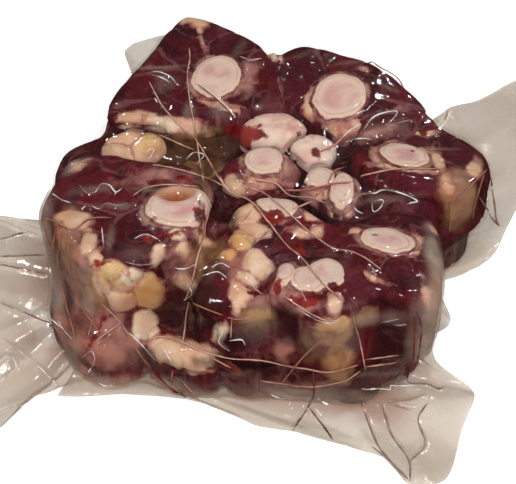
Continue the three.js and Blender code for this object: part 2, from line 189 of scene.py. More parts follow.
def rounded_edge(a, b, radius):
    """The larger of two distances, with the edge between them rounded."""
    x, y = a + radius, b + radius
    return np.hypot(np.maximum(x, 0), np.maximum(y, 0)) + np.minimum(np.maximum(x, y), 0) - radius


def outline_radius(joint, angle):
    """Radius of a joint's lobed outline in a direction, with its corners added and its flat sides cut."""
    local = angle - math.radians(joint["turn"])
    oval = 1 / np.hypot(np.cos(local) / joint["rx"], np.sin(local) / joint["ry"])
    lobes = np.cos(3 * local + joint["x"]) + 0.6 * np.cos(5 * local + joint["y"])
    radius = oval * (1 + joint["lobe"] * lobes)
    for middle, rise, half in joint["bulges"]:
        away = (angle - math.radians(middle) + math.pi) % (2 * math.pi) - math.pi
        radius = radius + rise * bell(away, math.radians(half))
    for middle, reach in joint["cuts"]:
        toward = np.maximum(np.cos(angle - math.radians(middle)), 0.15)
        radius = meld(radius, reach / toward, CUT_ROUND)
    return radius


def side_distance(joint, x, y):
    dx, dy = x - joint["x"], y - joint["y"]
    return np.hypot(dx, dy) - outline_radius(joint, np.arctan2(dy, dx))


FAR = 60.0


def oval_distance(x, y, ovals):
    """Millimetres from points to the nearest of some ovals, below zero inside one, at most FAR."""
    nearest = np.full(np.shape(x), FAR)
    for at_x, at_y, rx, ry, turn in ovals:
        cos, sin = math.cos(math.radians(turn)), math.sin(math.radians(turn))
        u = ((x - at_x) * cos + (y - at_y) * sin) / rx
        v = ((y - at_y) * cos - (x - at_x) * sin) / ry
        nearest = np.minimum(nearest, (np.hypot(u, v) - 1) * min(rx, ry))
    return nearest


def face_height(joint, x, y):
    """Height of a sawn face: sloped, with the vertebra's end proud of it, and hollow in one joint."""
    dx, dy = x - joint["x"], y - joint["y"]
    height = joint["top"] + joint["slope"][0] * dx + joint["slope"][1] * dy
    if joint["bones"]:
        height = height + joint["rise"] * (1 - smoothstep(-2.5, 5, oval_distance(dx, dy, joint["bones"])))
    if "bowl" in joint:
        bowl = oval_distance(dx, dy, [joint["bowl"]])
        height = height - joint["bowl_depth"] * (1 - smoothstep(-6, 1, bowl))
    return height


def edge_radius(joint):
    return 0.75 * min(joint["rx"], joint["ry"]) if joint["knob"] else EDGE_ROUND


def joint_distance(joint, x, y, z):
    above = (z - face_height(joint, x, y)) / math.hypot(1, *joint["slope"])
    return rounded_edge(side_distance(joint, x, y), np.maximum(above, joint["foot"] - z), edge_radius(joint))


print("distance to joint A from above its middle:", joint_distance(JOINTS["A"], -36.0, 62.0, 90.0).round(2))

# %% Distance to the whole pack
def core_distance(x, y, z):
    """Distance to the hidden middle, a squarish pad that carries the film over the gaps."""
    power = CORE["squareness"]
    share = (np.abs((x - CORE["x"]) / CORE["rx"]) ** power
             + np.abs((y - CORE["y"]) / CORE["ry"]) ** power) ** (1 / power)
    return rounded_edge((share - 1) * min(CORE["rx"], CORE["ry"]), z - CORE["top"], CORE["round"])


def pack_distance(x, y, z):
    distance = core_distance(x, y, z)
    for joint in LOWER_JOINTS:
        distance = meld(distance, joint_distance(joint, x, y, z), CORE_MELD)
    for joint in UPPER_JOINTS:
        distance = meld(distance, joint_distance(joint, x, y, z), MELD)
    return distance - FILM_GAP


MARCH_START, MARCH_STEPS, MARCH_SHARE, TOUCHING = 70, 90, 0.8, 0.02


def outermost(starts, ways):
    """The pack's outermost point on each line from a start along a way, met from outside."""
    reach = np.full(len(starts), float(MARCH_START))
    live = np.arange(len(starts))
    for _ in range(MARCH_STEPS):
        distance = pack_distance(*(starts[live] + ways[live] * reach[live, None]).T)
        reach[live] -= MARCH_SHARE * distance
        live = live[(distance > TOUCHING) & (reach[live] > 0)]
        if not len(live):
            break
    return starts + ways * np.maximum(reach, 0)[:, None]


over_b = outermost(np.array([[56.0, 60, 40]]), np.array([[0.0, 0, 1]]))
print("film height over joint B:", over_b[0, 2].round(1))

# %% [markdown]
# ## Noise for shapes
# Flesh and film are uneven. A lattice of random numbers, smoothly blended, gives a wobble that is
# the same on every run because its seed is fixed.

# %% Wobble
LATTICE_SIDE = 32
LATTICE = np.random.default_rng(11).random((LATTICE_SIDE,) * 3)


def wobble(points, size):
    """A smooth random value from -1 to 1 at each point, with bumps of about a size in millimetres."""
    place = np.asarray(points) / size + 100.37
    cell = np.floor(place).astype(int)
    share = place - cell
    share = share * share * (3 - 2 * share)
    total = np.zeros(len(place))
    for corner in itertools.product((0, 1), repeat=3):
        weight = np.prod(np.where(corner, share, 1 - share), axis=1)
        index = (cell + corner) % LATTICE_SIDE
        total += weight * LATTICE[index[:, 0], index[:, 1], index[:, 2]]
    return 2 * total - 1


print("wobble at three points:", wobble([[0, 0, 0], [5, 5, 5], [10, 0, 3]], 8).round(2))

# %% Make a mesh piece
def store(mesh, name, values):
    """Keeps a number or a direction on each point of a mesh, under a name."""
    values = np.asarray(values).astype(np.float32)
    kind, key = ("FLOAT_VECTOR", "vector") if values.ndim == 2 else ("FLOAT", "value")
    mesh.attributes.new(name, kind, "POINT").data.foreach_set(key, values.ravel())


def make_piece(name, points, faces, attributes):
    """A smooth mesh object from points in millimetres, with named values on its points."""
    mesh = bpy.data.meshes.new(name)
    mesh.from_pydata(np.asarray(points) / 1000, [], faces)
    mesh.shade_smooth()
    for key, values in attributes.items():
        store(mesh, key, values)
    piece = bpy.data.objects.new(name, mesh)
    bpy.context.scene.collection.objects.link(piece)
    return piece


def ring_faces(first, second):
    """Four-cornered faces between two closed rows of point numbers."""
    return np.stack([first, second, np.roll(second, -1), np.roll(first, -1)], axis=1).tolist()


def grid_faces(index):
    """Four-cornered faces between neighbouring point numbers of a grid."""
    corners = index[:-1, :-1], index[:-1, 1:], index[1:, 1:], index[1:, :-1]
    return np.stack(corners, axis=-1).reshape(-1, 4)


def rim_of(index):
    """Point numbers round the edge of a grid."""
    return np.concatenate([index[0, :-1], index[:-1, -1], index[-1, :0:-1], index[:0:-1, 0]])


print("point numbers round a grid of three by three:", rim_of(np.arange(9).reshape(3, 3)))

# %% [markdown]
# ## The film's form
# The film over the block is one closed surface. A square grid is bent to the block's footprint and
# each point is let down on to the pack. Rows round the shoulder and down the side close it, and the
# base is flat on the table.

# %% Footprint of the film
SPINE_COUNT, SPINE_INSET, SPINE_DROP = 240, 17, 22
SIDE_START, TOP_START = 60, 40.0  # how far out and how high the film's points are sought from


def spine_radii():
    angles = np.arange(SPINE_COUNT) / SPINE_COUNT * 2 * math.pi
    ways = np.stack([np.cos(angles), np.sin(angles), np.zeros(SPINE_COUNT)], axis=1)
    starts = np.array([*PACK_CENTRE, LOWER_TOP + 12]) + SIDE_START * ways
    raw = np.linalg.norm(outermost(starts, ways)[:, :2] - PACK_CENTRE, axis=1)
    span = SPINE_COUNT // 40
    return sum(np.roll(raw, k) for k in range(-span, span + 1)) / (2 * span + 1) - SPINE_INSET


SPINE = spine_radii()


def footprint(a, b):
    """Places on the square from -1 to 1 taken to the round footprint inside the shoulder."""
    u, v = a * np.sqrt(1 - b * b / 2), b * np.sqrt(1 - a * a / 2)
    angle = np.arctan2(v, u)
    place = (angle / (2 * math.pi)) % 1 * SPINE_COUNT
    low = np.floor(place).astype(int)
    spine = SPINE[low % SPINE_COUNT] * (1 - place + low) + SPINE[(low + 1) % SPINE_COUNT] * (place - low)
    radius = np.hypot(u, v) * spine
    return PACK_CENTRE + radius[:, None] * np.stack([np.cos(angle), np.sin(angle)], axis=1)


print("footprint radius, least and most:", SPINE.min().round(1), SPINE.max().round(1))

# %% Film over the block
def block_film(cells, shoulder_rows, side_rows):
    """Points and faces of the film over the block, at a chosen fineness."""
    side = cells + 1
    grid = np.linspace(-1, 1, side)
    a, b = (g.ravel() for g in np.meshgrid(grid, grid))
    plan = footprint(a, b)
    upward = np.tile([0.0, 0, 1], (len(plan), 1))
    top = outermost(np.column_stack([plan, np.full(len(plan), TOP_START)]), upward)
    index = np.arange(side * side).reshape(side, side)
    faces, rim = grid_faces(index).tolist(), rim_of(index)
    edge, heights = plan[rim], top[rim, 2] - SPINE_DROP
    outward = (edge - PACK_CENTRE) / np.linalg.norm(edge - PACK_CENTRE, axis=1)[:, None]
    rows = [top]
    for k in range(1, shoulder_rows + side_rows + 1):
        lift = math.pi / 2 * max(1 - k / shoulder_rows, 0)
        share = max(k - shoulder_rows, 0) / side_rows
        ways = np.column_stack([outward * math.cos(lift), np.full(len(edge), math.sin(lift))])
        rows.append(outermost(np.column_stack([edge, heights * (1 - share)]), ways))
    before = rim
    for k in range(1, len(rows)):
        row = side * side + (k - 1) * len(rim) + np.arange(len(rim))
        faces += ring_faces(before, row)
        before = row
    points = np.concatenate(rows + [[[*PACK_CENTRE, 0.0]]])
    last = len(points) - 1
    faces += [[last, p, q] for p, q in zip(np.roll(before, -1), before)]
    return points, faces


FILM_POINTS, FILM_FACES = block_film(cells=190, shoulder_rows=18, side_rows=34)
print("film points:", len(FILM_POINTS), "highest:", FILM_POINTS[:, 2].max().round(1))

# %% [markdown]
# ## Wings of spare film
# Beyond the block the two walls of the bag lie on each other. Each wing hangs from a line hidden in
# the block, drops to the table and lies in folds that curl up at the free edge. A wing is a grid
# between its root line and its tip line, doubled to a thin closed sheet. Fine folds fan out from
# the block, as they do when a bag is sucked flat.

# %% Wing tables
WING_REST, WING_THICKNESS = 1.3, 0.6
PLEAT_SIZE, PLEAT_HEIGHT, CRUSH_SIZE, CRUSH_HEIGHT = 17, 1.7, 38, 3
WINGS = [
    dict(name="left", lift=13, wave=5, folds=2.6, out=110, across=230, curl=5, root=[(-84, 14), (-76, -74)],
         tips=[(-121, 22), (-148, 30), (-180, 33), (-179, -50), (-171, -126), (-128, -124), (-112, -99),
               (-96, -90)]),
    dict(name="right", lift=15, wave=5, folds=2.4, out=90, across=230, curl=6, root=[(72, 74), (84, -20)],
         tips=[(111, 113), (131, 131), (176, 145), (180, 70), (149, 36), (138, 14), (125, -10), (108, -16)]),
    dict(name="front", lift=11, wave=3.5, folds=5.3, out=70, across=420, curl=4,
         root=[(84, -24), (72, -70), (50, -84), (-62, -76), (-88, -66)],
         tips=[(97, -29), (101, -46), (91, -58), (90, -74), (107, -91), (107, -98), (100, -113), (88, -143),
               (73, -149), (60, -131), (40, -125), (20, -120), (2, -115), (-26, -102), (-62, -99),
               (-99, -97)]),
    dict(name="back_ear", lift=58, fall=0.04, wave=2, folds=1.3, out=60, across=100, curl=8,
         root=[(-62, 62), (-38, 98)],
         tips=[(-74, 92), (-76, 104), (-72, 114), (-64, 121), (-50, 125), (-36, 119)]),
    dict(name="back_hem", lift=6, wave=2, folds=3.4, out=40, across=240, curl=2, root=[(-62, 76), (80, 66)],
         tips=[(-92, 96), (-40, 122), (30, 117), (80, 106), (112, 88)]),
]


# %% Lines in plan
def along_points(points, shares):
    """Points on a straight-sided line through given points, each stretch taking an equal share."""
    points = np.array(points, float)
    place = np.clip(shares, 0, 1) * (len(points) - 1)
    low = np.minimum(place.astype(int), len(points) - 2)
    t = (place - low)[:, None]
    return points[low] * (1 - t) + points[low + 1] * t


def along_curve(points, shares):
    """Points on a smooth line through given points, by the centripetal Catmull-Rom rule."""
    points = np.array(points, float)
    if len(points) < 3:
        return along_points(points, shares)
    ends = np.vstack([2 * points[0] - points[1], points, 2 * points[-1] - points[-2]])
    place = np.clip(shares, 0, 1) * (len(points) - 1)
    low = np.minimum(place.astype(int), len(points) - 2)
    t = (place - low)[:, None]
    p0, p1, p2, p3 = (ends[low + k] for k in range(4))
    gaps = [np.linalg.norm(b - a, axis=1) ** 0.5 for a, b in ((p0, p1), (p1, p2), (p2, p3))]
    d0, d1, d2 = (np.maximum(gap, 1e-4)[:, None] for gap in gaps)
    t1 = ((p1 - p0) / d0 - (p2 - p0) / (d0 + d1) + (p2 - p1) / d1) * d1
    t2 = ((p2 - p1) / d1 - (p3 - p1) / (d1 + d2) + (p3 - p2) / d2) * d1
    return p1 + t1 * t + (3 * (p2 - p1) - 2 * t1 - t2) * t**2 + (2 * (p1 - p2) + t1 + t2) * t**3


# %% Wings of film
def wing_height(wing, s, t):
    drop = wing["lift"] * (1 - wing.get("fall", 1) * smoothstep(0, 0.62, t))
    phase = 2 * math.pi * wing["folds"] * s + 2.4 * t
    folds = wing["wave"] * smoothstep(0.15, 0.6, t) * (0.5 + 0.5 * np.sin(phase))
    curl = wing["curl"] * smoothstep(0.45, 1, t) * (0.55 + 0.45 * np.sin(5 * s + wing["tips"][0][0]))
    return WING_REST + drop + folds + curl


def wing_sheet(wing):
    """Middle surface of a wing, with fine pleats that fan out from its root and broader crushed folds."""
    s, t = np.meshgrid(np.linspace(0, 1, wing["across"] + 1), np.linspace(0, 1, wing["out"] + 1))
    s, t = s.ravel(), t.ravel()
    root, tip = along_curve(wing["root"], s), along_curve(wing["tips"], s)
    plan = root * (1 - t[:, None]) + tip * t[:, None]
    height = wing_height(wing, s, t)
    length = np.linalg.norm(np.diff(along_curve(wing["tips"], np.linspace(0, 1, 200)), axis=0), axis=1).sum()
    flat = np.column_stack([plan, height * 0])
    fan = np.column_stack([s * length * 0.8 + 6 * wobble(flat, 26), t * 22, np.full(len(s), length)])
    pleats = 1 - 2 * np.abs(wobble(fan, PLEAT_SIZE))
    crush = 1 - 2 * np.abs(wobble(flat, CRUSH_SIZE))
    folded = PLEAT_HEIGHT * pleats * (1 - 0.5 * t) + CRUSH_HEIGHT * crush * t
    height = height + smoothstep(0.1, 0.4, t) * folded
    return np.column_stack([plan, np.maximum(height, 0.5)])


def vertex_normals(points, width):
    """Upward normals of a grid of points given row by row."""
    grid = points.reshape(-1, width, 3)
    down, along = np.gradient(grid, axis=0), np.gradient(grid, axis=1)
    normal = np.cross(along, down).reshape(-1, 3)
    normal /= np.maximum(np.linalg.norm(normal, axis=1), 1e-9)[:, None]
    return normal * np.sign(normal[:, 2:] + 1e-9)


WING_SHEETS = {wing["name"]: wing_sheet(wing) for wing in WINGS}
print("wing points:", {name: len(points) for name, points in WING_SHEETS.items()})

# %% [markdown]
# ## Creases
# Where the bag was pulled tight it folded into sharp little ridges, and juice ran along inside
# them. They are the pack's most telling detail. Each crease below is a line of places in the
# photograph, with a kind that says what fills it. The clear kind holds nothing: the film is raised
# along it, and a white tube paints the highlight that the fold would catch. A ray is cast from the
# camera through each place and meets the film, so the crease lies on the film itself.

# %% Table of creases
# Each kind has its half width in millimetres, then its lines in pixels of the photograph.
CREASES = {
    "tan": (0.4, [
        [(189, 48), (190, 58), (188, 76), (190, 102), (194, 123), (200, 163), (203, 182)], [(149, 82),
        (163, 107), (175, 122), (195, 139), (207, 158), (221, 181), (230, 190)], [(160, 135), (194, 150)],
        [(152, 166), (175, 170), (198, 176), (221, 185), (231, 189)], [(133, 196), (146, 188), (168, 185),
        (198, 187)], [(206, 211), (203, 229), (199, 245)], [(220, 176), (228, 190), (255, 205),
        (268, 222), (285, 244), (302, 259), (324, 285), (343, 302)], [(241, 186), (265, 195), (285, 211),
        (318, 239), (333, 249), (351, 252), (360, 256), (381, 270)], [(249, 179), (277, 185), (289, 196),
        (310, 198), (326, 204)], [(293, 210), (312, 202)], [(243, 222), (252, 210)], [(254, 245),
        (271, 229)], [(361, 176), (388, 171), (440, 169)], [(202, 220), (200, 241), (193, 284),
        (186, 300)], [(189, 302), (186, 324), (183, 349)], [(147, 339), (162, 337), (182, 343),
        (207, 351), (232, 358), (260, 360), (300, 367), (327, 371), (358, 364)], [(212, 356), (231, 367)],
        [(182, 381), (200, 400)], [(96, 342), (121, 322)], [(102, 301), (121, 322)], [(228, 317),
        (239, 319), (253, 315)], [(232, 318), (231, 338)], [(260, 380), (318, 385), (346, 379),
        (360, 370)], [(365, 359), (399, 354)], [(365, 366), (401, 361)], [(352, 315), (359, 340),
        (365, 369)], [(384, 387), (408, 385)], [(387, 403), (409, 400), (425, 395)], [(390, 404),
        (411, 411)], [(253, 287), (263, 294)], [(284, 296), (302, 308), (322, 318), (333, 319),
        (343, 315)],
    ]),
    "cream": (0.8, [[(199, 85), (215, 96), (236, 118)]]),
    "pink": (0.45, [
        [(285, 191), (307, 190), (327, 185), (352, 182)], [(327, 187), (334, 172), (344, 168)],
        [(314, 198), (324, 187)], [(323, 188), (324, 200)], [(318, 153), (335, 145), (344, 135)],
        [(279, 169), (281, 182)],
    ]),
    "brown": (0.45, [
        [(98, 301), (88, 339)], [(121, 321), (137, 349), (152, 368)], [(193, 303), (223, 315)],
        [(173, 370), (171, 385)], [(43, 218), (57, 223), (72, 230), (91, 219), (111, 218)], [(57, 229),
        (55, 255), (64, 299)], [(43, 217), (54, 255)], [(62, 232), (59, 262), (66, 300), (76, 338)],
        [(70, 230), (70, 262), (80, 300), (98, 330)], [(322, 337), (301, 359), (282, 382)], [(352, 318),
        (357, 332)], [(364, 412), (373, 436), (380, 450), (410, 482)], [(382, 405), (391, 435),
        (409, 462), (410, 482)], [(427, 404), (418, 419), (425, 445), (410, 462)], [(486, 170),
        (468, 188), (454, 201)], [(483, 175), (475, 202), (472, 218)], [(450, 202), (449, 231)],
        [(489, 175), (495, 207), (497, 222), (500, 227)], [(479, 197), (493, 220), (500, 227)],
        [(447, 111), (444, 121)], [(0, 240), (28, 232)], [(0, 257), (55, 256)], [(0, 265), (48, 275)],
        [(0, 303), (65, 330)],
    ]),
    "seam": (0.75, [[(150, 366), (168, 385), (188, 400), (219, 419), (244, 430), (272, 436), (299, 438)]]),
    "red": (0.42, [
        [(414, 315), (414, 330), (413, 359), (407, 382), (427, 385), (440, 390), (444, 388)], [(417, 312),
        (421, 325), (420, 342), (417, 359)], [(313, 368), (313, 396), (293, 431)], [(310, 408),
        (333, 441)], [(361, 399), (362, 409)],
    ]),
    # Clear creases hold nothing: they raise the film, and white tubes along them paint the highlight a fold
    # would catch.
    "clear": (0.25, [
        [(80, 187), (87, 195), (95, 195), (102, 186), (110, 187), (116, 193), (122, 189)], [(92, 207),
        (99, 211), (107, 205), (117, 207), (128, 204)], [(53, 195), (62, 202), (71, 204)], [(125, 262),
        (140, 264), (155, 262)], [(102, 228), (104, 249)], [(83, 357), (92, 351), (96, 357), (89, 372)],
        [(122, 327), (140, 342), (159, 360)], [(164, 346), (173, 360)], [(99, 381), (110, 384),
        (116, 375)], [(174, 267), (186, 268), (198, 265)], [(212, 268), (221, 264), (230, 268)],
        [(203, 277), (218, 273), (227, 279)], [(230, 339), (242, 338), (245, 344)], [(189, 282),
        (194, 294), (185, 300)], [(225, 327), (221, 340), (230, 350)], [(0, 340), (22, 354), (42, 370),
        (62, 393)], [(0, 412), (25, 404), (44, 395)], [(39, 312), (53, 318), (65, 329)], [(0, 362),
        (11, 357), (17, 368), (8, 376)], [(364, 130), (372, 121), (385, 115), (397, 114), (391, 122),
        (385, 127)], [(388, 127), (406, 122), (412, 121)], [(338, 143), (352, 131), (362, 125)],
        [(346, 143), (359, 140), (371, 141)], [(352, 204), (359, 196), (374, 193), (383, 189), (400, 192),
        (417, 201), (406, 205)], [(370, 204), (383, 201), (381, 209), (373, 214), (370, 204)],
        [(352, 204), (355, 212), (362, 215)], [(152, 73), (161, 74), (171, 79), (177, 86)], [(152, 76),
        (161, 79), (170, 84)], [(146, 153), (153, 150), (147, 164)], [(186, 161), (194, 153), (204, 156),
        (197, 164)], [(296, 307), (317, 318), (331, 320), (342, 315)], [(382, 320), (400, 317)],
        [(394, 323), (407, 322)], [(271, 393), (291, 400), (288, 407)], [(361, 387), (387, 387),
        (417, 387)], [(387, 402), (414, 403), (424, 397)], [(240, 58), (250, 62), (262, 60)], [(60, 321),
        (73, 339)], [(135, 240), (146, 236), (158, 240)],
    ]),
}
print("creases seen in the photograph:", sum(len(lines) for _, lines in CREASES.values()))


# %% Cast the creases on to the film
def sheet_faces(wing):
    width = wing["across"] + 1
    index = np.arange(width * (wing["out"] + 1)).reshape(-1, width)
    return grid_faces(index)


def film_tree():
    """A search tree of the block's film and the wings together."""
    points, faces, start = [FILM_POINTS], list(FILM_FACES), len(FILM_POINTS)
    for wing in WINGS:
        points.append(WING_SHEETS[wing["name"]])
        faces += (sheet_faces(wing) + start).tolist()
        start += len(WING_SHEETS[wing["name"]])
    return BVHTree.FromPolygons(np.concatenate(points).tolist(), faces)


FILM_TREE = film_tree()
EYE = camera.location * 1000
TURN = camera.rotation_euler.to_matrix()
PIXELS_PER_SLOPE = lens.lens / lens.sensor_width * PHOTO_WIDE


def cast(pixel):
    """Where the ray through a place in the photograph meets the film."""
    right, up = pixel[0] - PHOTO_WIDE / 2, PHOTO_HIGH / 2 - pixel[1]
    way = TURN @ Vector((right / PIXELS_PER_SLOPE, up / PIXELS_PER_SLOPE, -1))
    return FILM_TREE.ray_cast(EYE, way.normalized())[0]


PIXELS_PER_STEP, HIDDEN_JUMP = 1.5, 7


def crease_path(pixels):
    """Points along a crease on the film, cut where a jump in millimetres shows that the film is hidden."""
    length = sum(math.dist(p, q) for p, q in zip(pixels, pixels[1:]))
    count = int(length / PIXELS_PER_STEP) + 2
    runs, run = [], []
    for pixel in along_curve(pixels, np.linspace(0, 1, count)):
        place = cast(pixel)
        if place is None or (run and (place - run[-1]).length > HIDDEN_JUMP):
            runs.append(run)
            run = []
        if place is not None:
            run.append(place)
    return [np.array(r) for r in runs + [run] if len(r) > 2]


CREASE_RUNS = [(kind, width, run) for kind, (width, lines) in CREASES.items()
               for line in lines for run in crease_path(line)]
print("crease runs on the film:", len(CREASE_RUNS))

# %% [markdown]
# ## Patches of tissue
# Fat, gristle, pink flesh and blood show through the film all over the sides. Each patch below is a
# place in the photograph with its half width and half height there, and its turn in degrees. It
# becomes an oval lump in space, so that meat near it takes its colour, and fat swells the film. The
# milky and sheen patches are milky places in the film, and thin streaks of painted sheen laid on in
# the same milky colour, with a strength as a sixth number. Stains are places where juice tints it.
# The walls behind, which the photograph doesn't show, get patches by a seeded rule.

# %% Table of patches
PATCHES = {
    "pink": [
        (163, 178, 26, 6, 3), (98, 318, 26, 30, 0), (100, 352, 30, 20, -8), (148, 382, 26, 8, 4),
        (250, 76, 7, 16, -14), (195, 230, 12, 8, 0), (178, 268, 12, 26, 8), (262, 292, 20, 16, 0),
        (303, 304, 22, 9, 8), (69, 262, 15, 48, 5), (376, 131, 30, 5, 16), (283, 350, 6, 14, 0),
        (122, 345, 26, 14, -10), (248, 208, 14, 8, 0), (364, 320, 12, 8, 0), (240, 262, 20, 22, 0),
        (95, 288, 13, 24, 0), (84, 378, 14, 14, 0), (120, 384, 30, 10, 0), (60, 330, 8, 24, 0),
    ],
    "olive": [
        (194, 150, 38, 27, 0), (215, 246, 15, 12, 20), (207, 268, 8, 12, 0), (309, 350, 9, 18, 10),
        (255, 322, 18, 12, 0), (460, 215, 16, 20, 0), (206, 180, 8, 12, 0), (196, 292, 8, 6, 0),
    ],
    "tan": [
        (335, 334, 20, 20, 0), (338, 364, 15, 28, 0), (364, 320, 13, 9, 0), (100, 292, 15, 26, 0),
        (462, 200, 16, 30, 10), (446, 186, 9, 14, 20), (257, 318, 16, 9, 0), (66, 250, 9, 34, 4),
        (440, 300, 10, 40, 0), (190, 262, 8, 18, 8),
    ],
    "fat": [
        (133, 118, 8, 3, 0), (201, 23, 9, 3, 5), (126, 132, 14, 9, 0), (118, 149, 10, 8, 0),
        (76, 164, 10, 4, 20), (72, 163, 12, 5, 20), (76, 220, 14.5, 8, 2), (88, 243, 6, 9, 20),
        (94, 257, 6, 8, 0), (124, 283, 15, 15, 0), (122, 300, 17, 15, 0), (101, 284, 8, 14, 0),
        (184, 250, 6, 10, 5), (182, 284, 7, 12, 0), (205, 214, 6, 9, 0), (427, 292, 2.5, 9, 10),
        (448, 186, 5, 6, 30), (424, 154, 6, 11, 0), (240, 292, 8, 12, 20), (203, 236, 8, 5, -20),
        (232, 372, 10, 3, -10), (317, 230, 8, 6, 30), (181, 355, 40, 15.5, -15),
    ],
    "yellow": [
        (113, 273, 14, 13, 0), (148, 294, 16, 22, 6), (333, 326, 17, 9, 4), (148, 142, 15, 12, 0),
        (241, 238, 13, 11, 0), (228, 252, 8, 6, 30),
    ],
    "white": [
        (160, 122, 17, 7, -12), (144, 326, 13.5, 15, 0), (134, 277, 11, 10, 0), (256, 261, 15, 15, 10),
        (219, 336, 7, 14, -25), (334, 306, 7, 10, 0), (158, 253, 4.5, 10, -20), (273.5, 50, 3.5, 10, 10),
        (178, 233, 8, 6, -20), (246, 275, 8, 8, 0),
    ],
    # Dark patches are partly dark meat and partly painted shade: near-black laid where the flesh sinks into
    # hollows and crevices.
    "dark": [
        (236, 345, 24, 10, 0), (200, 300, 22, 20, 0), (192, 320, 26, 18, 0), (176, 205, 12, 3, 20),
        (240, 178, 6, 4, 0), (390, 350, 18, 34, 0), (240, 368, 40, 12, -6), (232, 218, 6, 8, 0),
        (322, 262, 10, 3, -20), (386, 304, 12, 5, 0), (222, 270, 6, 10, 10), (286, 326, 12, 22, 0),
        (190, 232, 8, 4, -10), (119, 172, 5, 12, 0), (320, 156, 10, 4, 0),
    ],
    "red": [
        (238, 132, 13, 9, 0), (255, 131, 10, 7, -25), (198, 213, 3, 8, 15), (266, 280, 10, 6, 30),
        (258, 292, 8, 3, 0), (222, 371, 12, 2, -14), (277, 288, 3, 9, 0), (300, 248, 7, 3, -30),
        (314, 152, 3, 3.5, 0), (172, 374, 3, 4, 20), (99, 322, 1.2, 12, -20), (112, 318, 10, 1.2, 20),
        (306, 300, 12, 6, 0), (98, 264, 6, 1.4, 10), (152, 237, 14, 1.6, 8), (170, 180, 14, 1.2, 4),
    ],
}
# Painted sheen: the long thin streaks here are soft highlights painted on the film; the broad patches are
# milky film.
MILK_AND_SHEEN_PATCHES = [
    (436, 262, 9, 40, 0, 0.75), (430, 330, 12, 50, 0, 0.7), (463, 200, 13, 24, 10, 0.4),
    (52, 262, 10, 66, 6, 0.68), (70, 268, 9, 46, 0, 0.42), (74, 166, 13, 6, 30, 0.4),
    (70, 356, 12, 30, -20, 0.6), (100, 388, 40, 11, -4, 0.7), (150, 388, 36, 10, 2, 0.62),
    (215, 402, 56, 9, -10, 0.6), (300, 396, 70, 9, 0, 0.55), (447, 112, 8, 8, 0, 0.5),
    (134, 252, 14, 7, 0, 0.22), (120, 350, 24, 14, -20, 0.3), (364, 318, 12, 7, 0, 0.35),
    (395, 318, 12, 5, 0, 0.3), (85, 290, 8, 34, 0, 0.4), (330, 340, 30, 26, 0, 0.14),
    (380, 131, 20, 6, 16, 0.2), (256, 330, 20, 12, 0, 0.15), (150, 68, 42, 1.4, 3, 0.4),
    (238, 50, 4, 12, -30, 0.18), (385, 86, 12, 1.4, -25, 0.28), (392, 100, 14, 1.4, -15, 0.28),
    (440, 149, 22, 1.4, 0, 0.35), (430, 162, 16, 1.2, 0, 0.3), (384, 200, 30, 3, 8, 0.22),
    (92, 190, 14, 4, 10, 0.3), (112, 206, 16, 3, 0, 0.3), (168, 84, 12, 8, 30, 0.2),
    (190, 112, 5, 8, 0, 0.25), (222, 112, 10, 6, -30, 0.25), (345, 306, 16, 2, 10, 0.3),
    (290, 385, 60, 3, 2, 0.3), (384, 374, 22, 2, -4, 0.3), (152, 190, 22, 2, -6, 0.3),
    (412, 330, 4, 30, 0, 0.35), (300, 56, 14, 2, 20, 0.2), (352, 62, 16, 2, 10, 0.2),
    (110, 240, 3, 14, 0, 0.25),
]
STAINS = [
    (65, 250, 14, 50, 8), (76, 330, 26, 26, 0), (120, 360, 30, 22, -20), (190, 160, 34, 22, 0),
    (250, 405, 70, 12, -8), (300, 365, 60, 20, 0), (460, 205, 22, 26, 0), (395, 440, 26, 40, 20),
    (230, 255, 26, 22, 0), (150, 300, 30, 26, 0),
]
print("patches:", {kind: len(patches) for kind, patches in PATCHES.items()}, "stains and hazes on the film:",
      len(STAINS), len(MILK_AND_SHEEN_PATCHES))


# %% Patches in space
CAMERA_AXES = np.array(TURN.transposed())
PATCH_DEPTH = 1.4


def place_patches(patches):
    """Each patch as a middle on the film, half sizes in millimetres, a turn and the camera's axes."""
    placed = []
    for px, py, wide, high, turn in patches:
        middle = cast((px, py))
        if middle is not None:
            scale = (middle - EYE).length / PIXELS_PER_SLOPE
            placed.append((np.array(middle), wide * scale, high * scale, math.radians(turn), CAMERA_AXES))
    return placed


BACK_KINDS = ("fat", "pink", "tan", "white", "dark", "yellow", "pink", "olive")


def back_patches(count):
    """Patches of each kind scattered over the walls that the photograph doesn't show."""
    random = np.random.default_rng(23)
    placed = {kind: [] for kind in PATCHES}
    for number in range(count):
        kind = BACK_KINDS[number % len(BACK_KINDS)]
        angle = math.radians(18 + 148 * (number + random.uniform(0, 0.8)) / count)
        way = np.array([math.cos(angle), math.sin(angle), 0.0])
        start = np.array([*PACK_CENTRE, random.uniform(8, 62)])
        middle = outermost(start[None] + SIDE_START * way, way[None])[0]
        axes = np.array([(-way[1], way[0], 0.0), (0, 0, 1.0), way])
        wide, high, turn = random.uniform(4, 11), random.uniform(4, 12), random.uniform(-0.6, 0.6)
        placed[kind].append((middle, wide, high, turn, axes))
    return placed


def patch_distance(points, placed):
    """Millimetres from points to the nearest patch, below zero inside one, at most 20."""
    nearest = np.full(len(points), 20.0)
    for middle, wide, high, turn, axes in placed:
        across, up, depth = ((points - middle) @ axes.T).T
        u = (across * math.cos(turn) + up * math.sin(turn)) / wide
        v = (up * math.cos(turn) - across * math.sin(turn)) / high
        w = depth / (PATCH_DEPTH * max(wide, high) + 3)
        nearest = np.minimum(nearest, (np.sqrt(u * u + v * v + w * w) - 1) * min(wide, high))
    return nearest


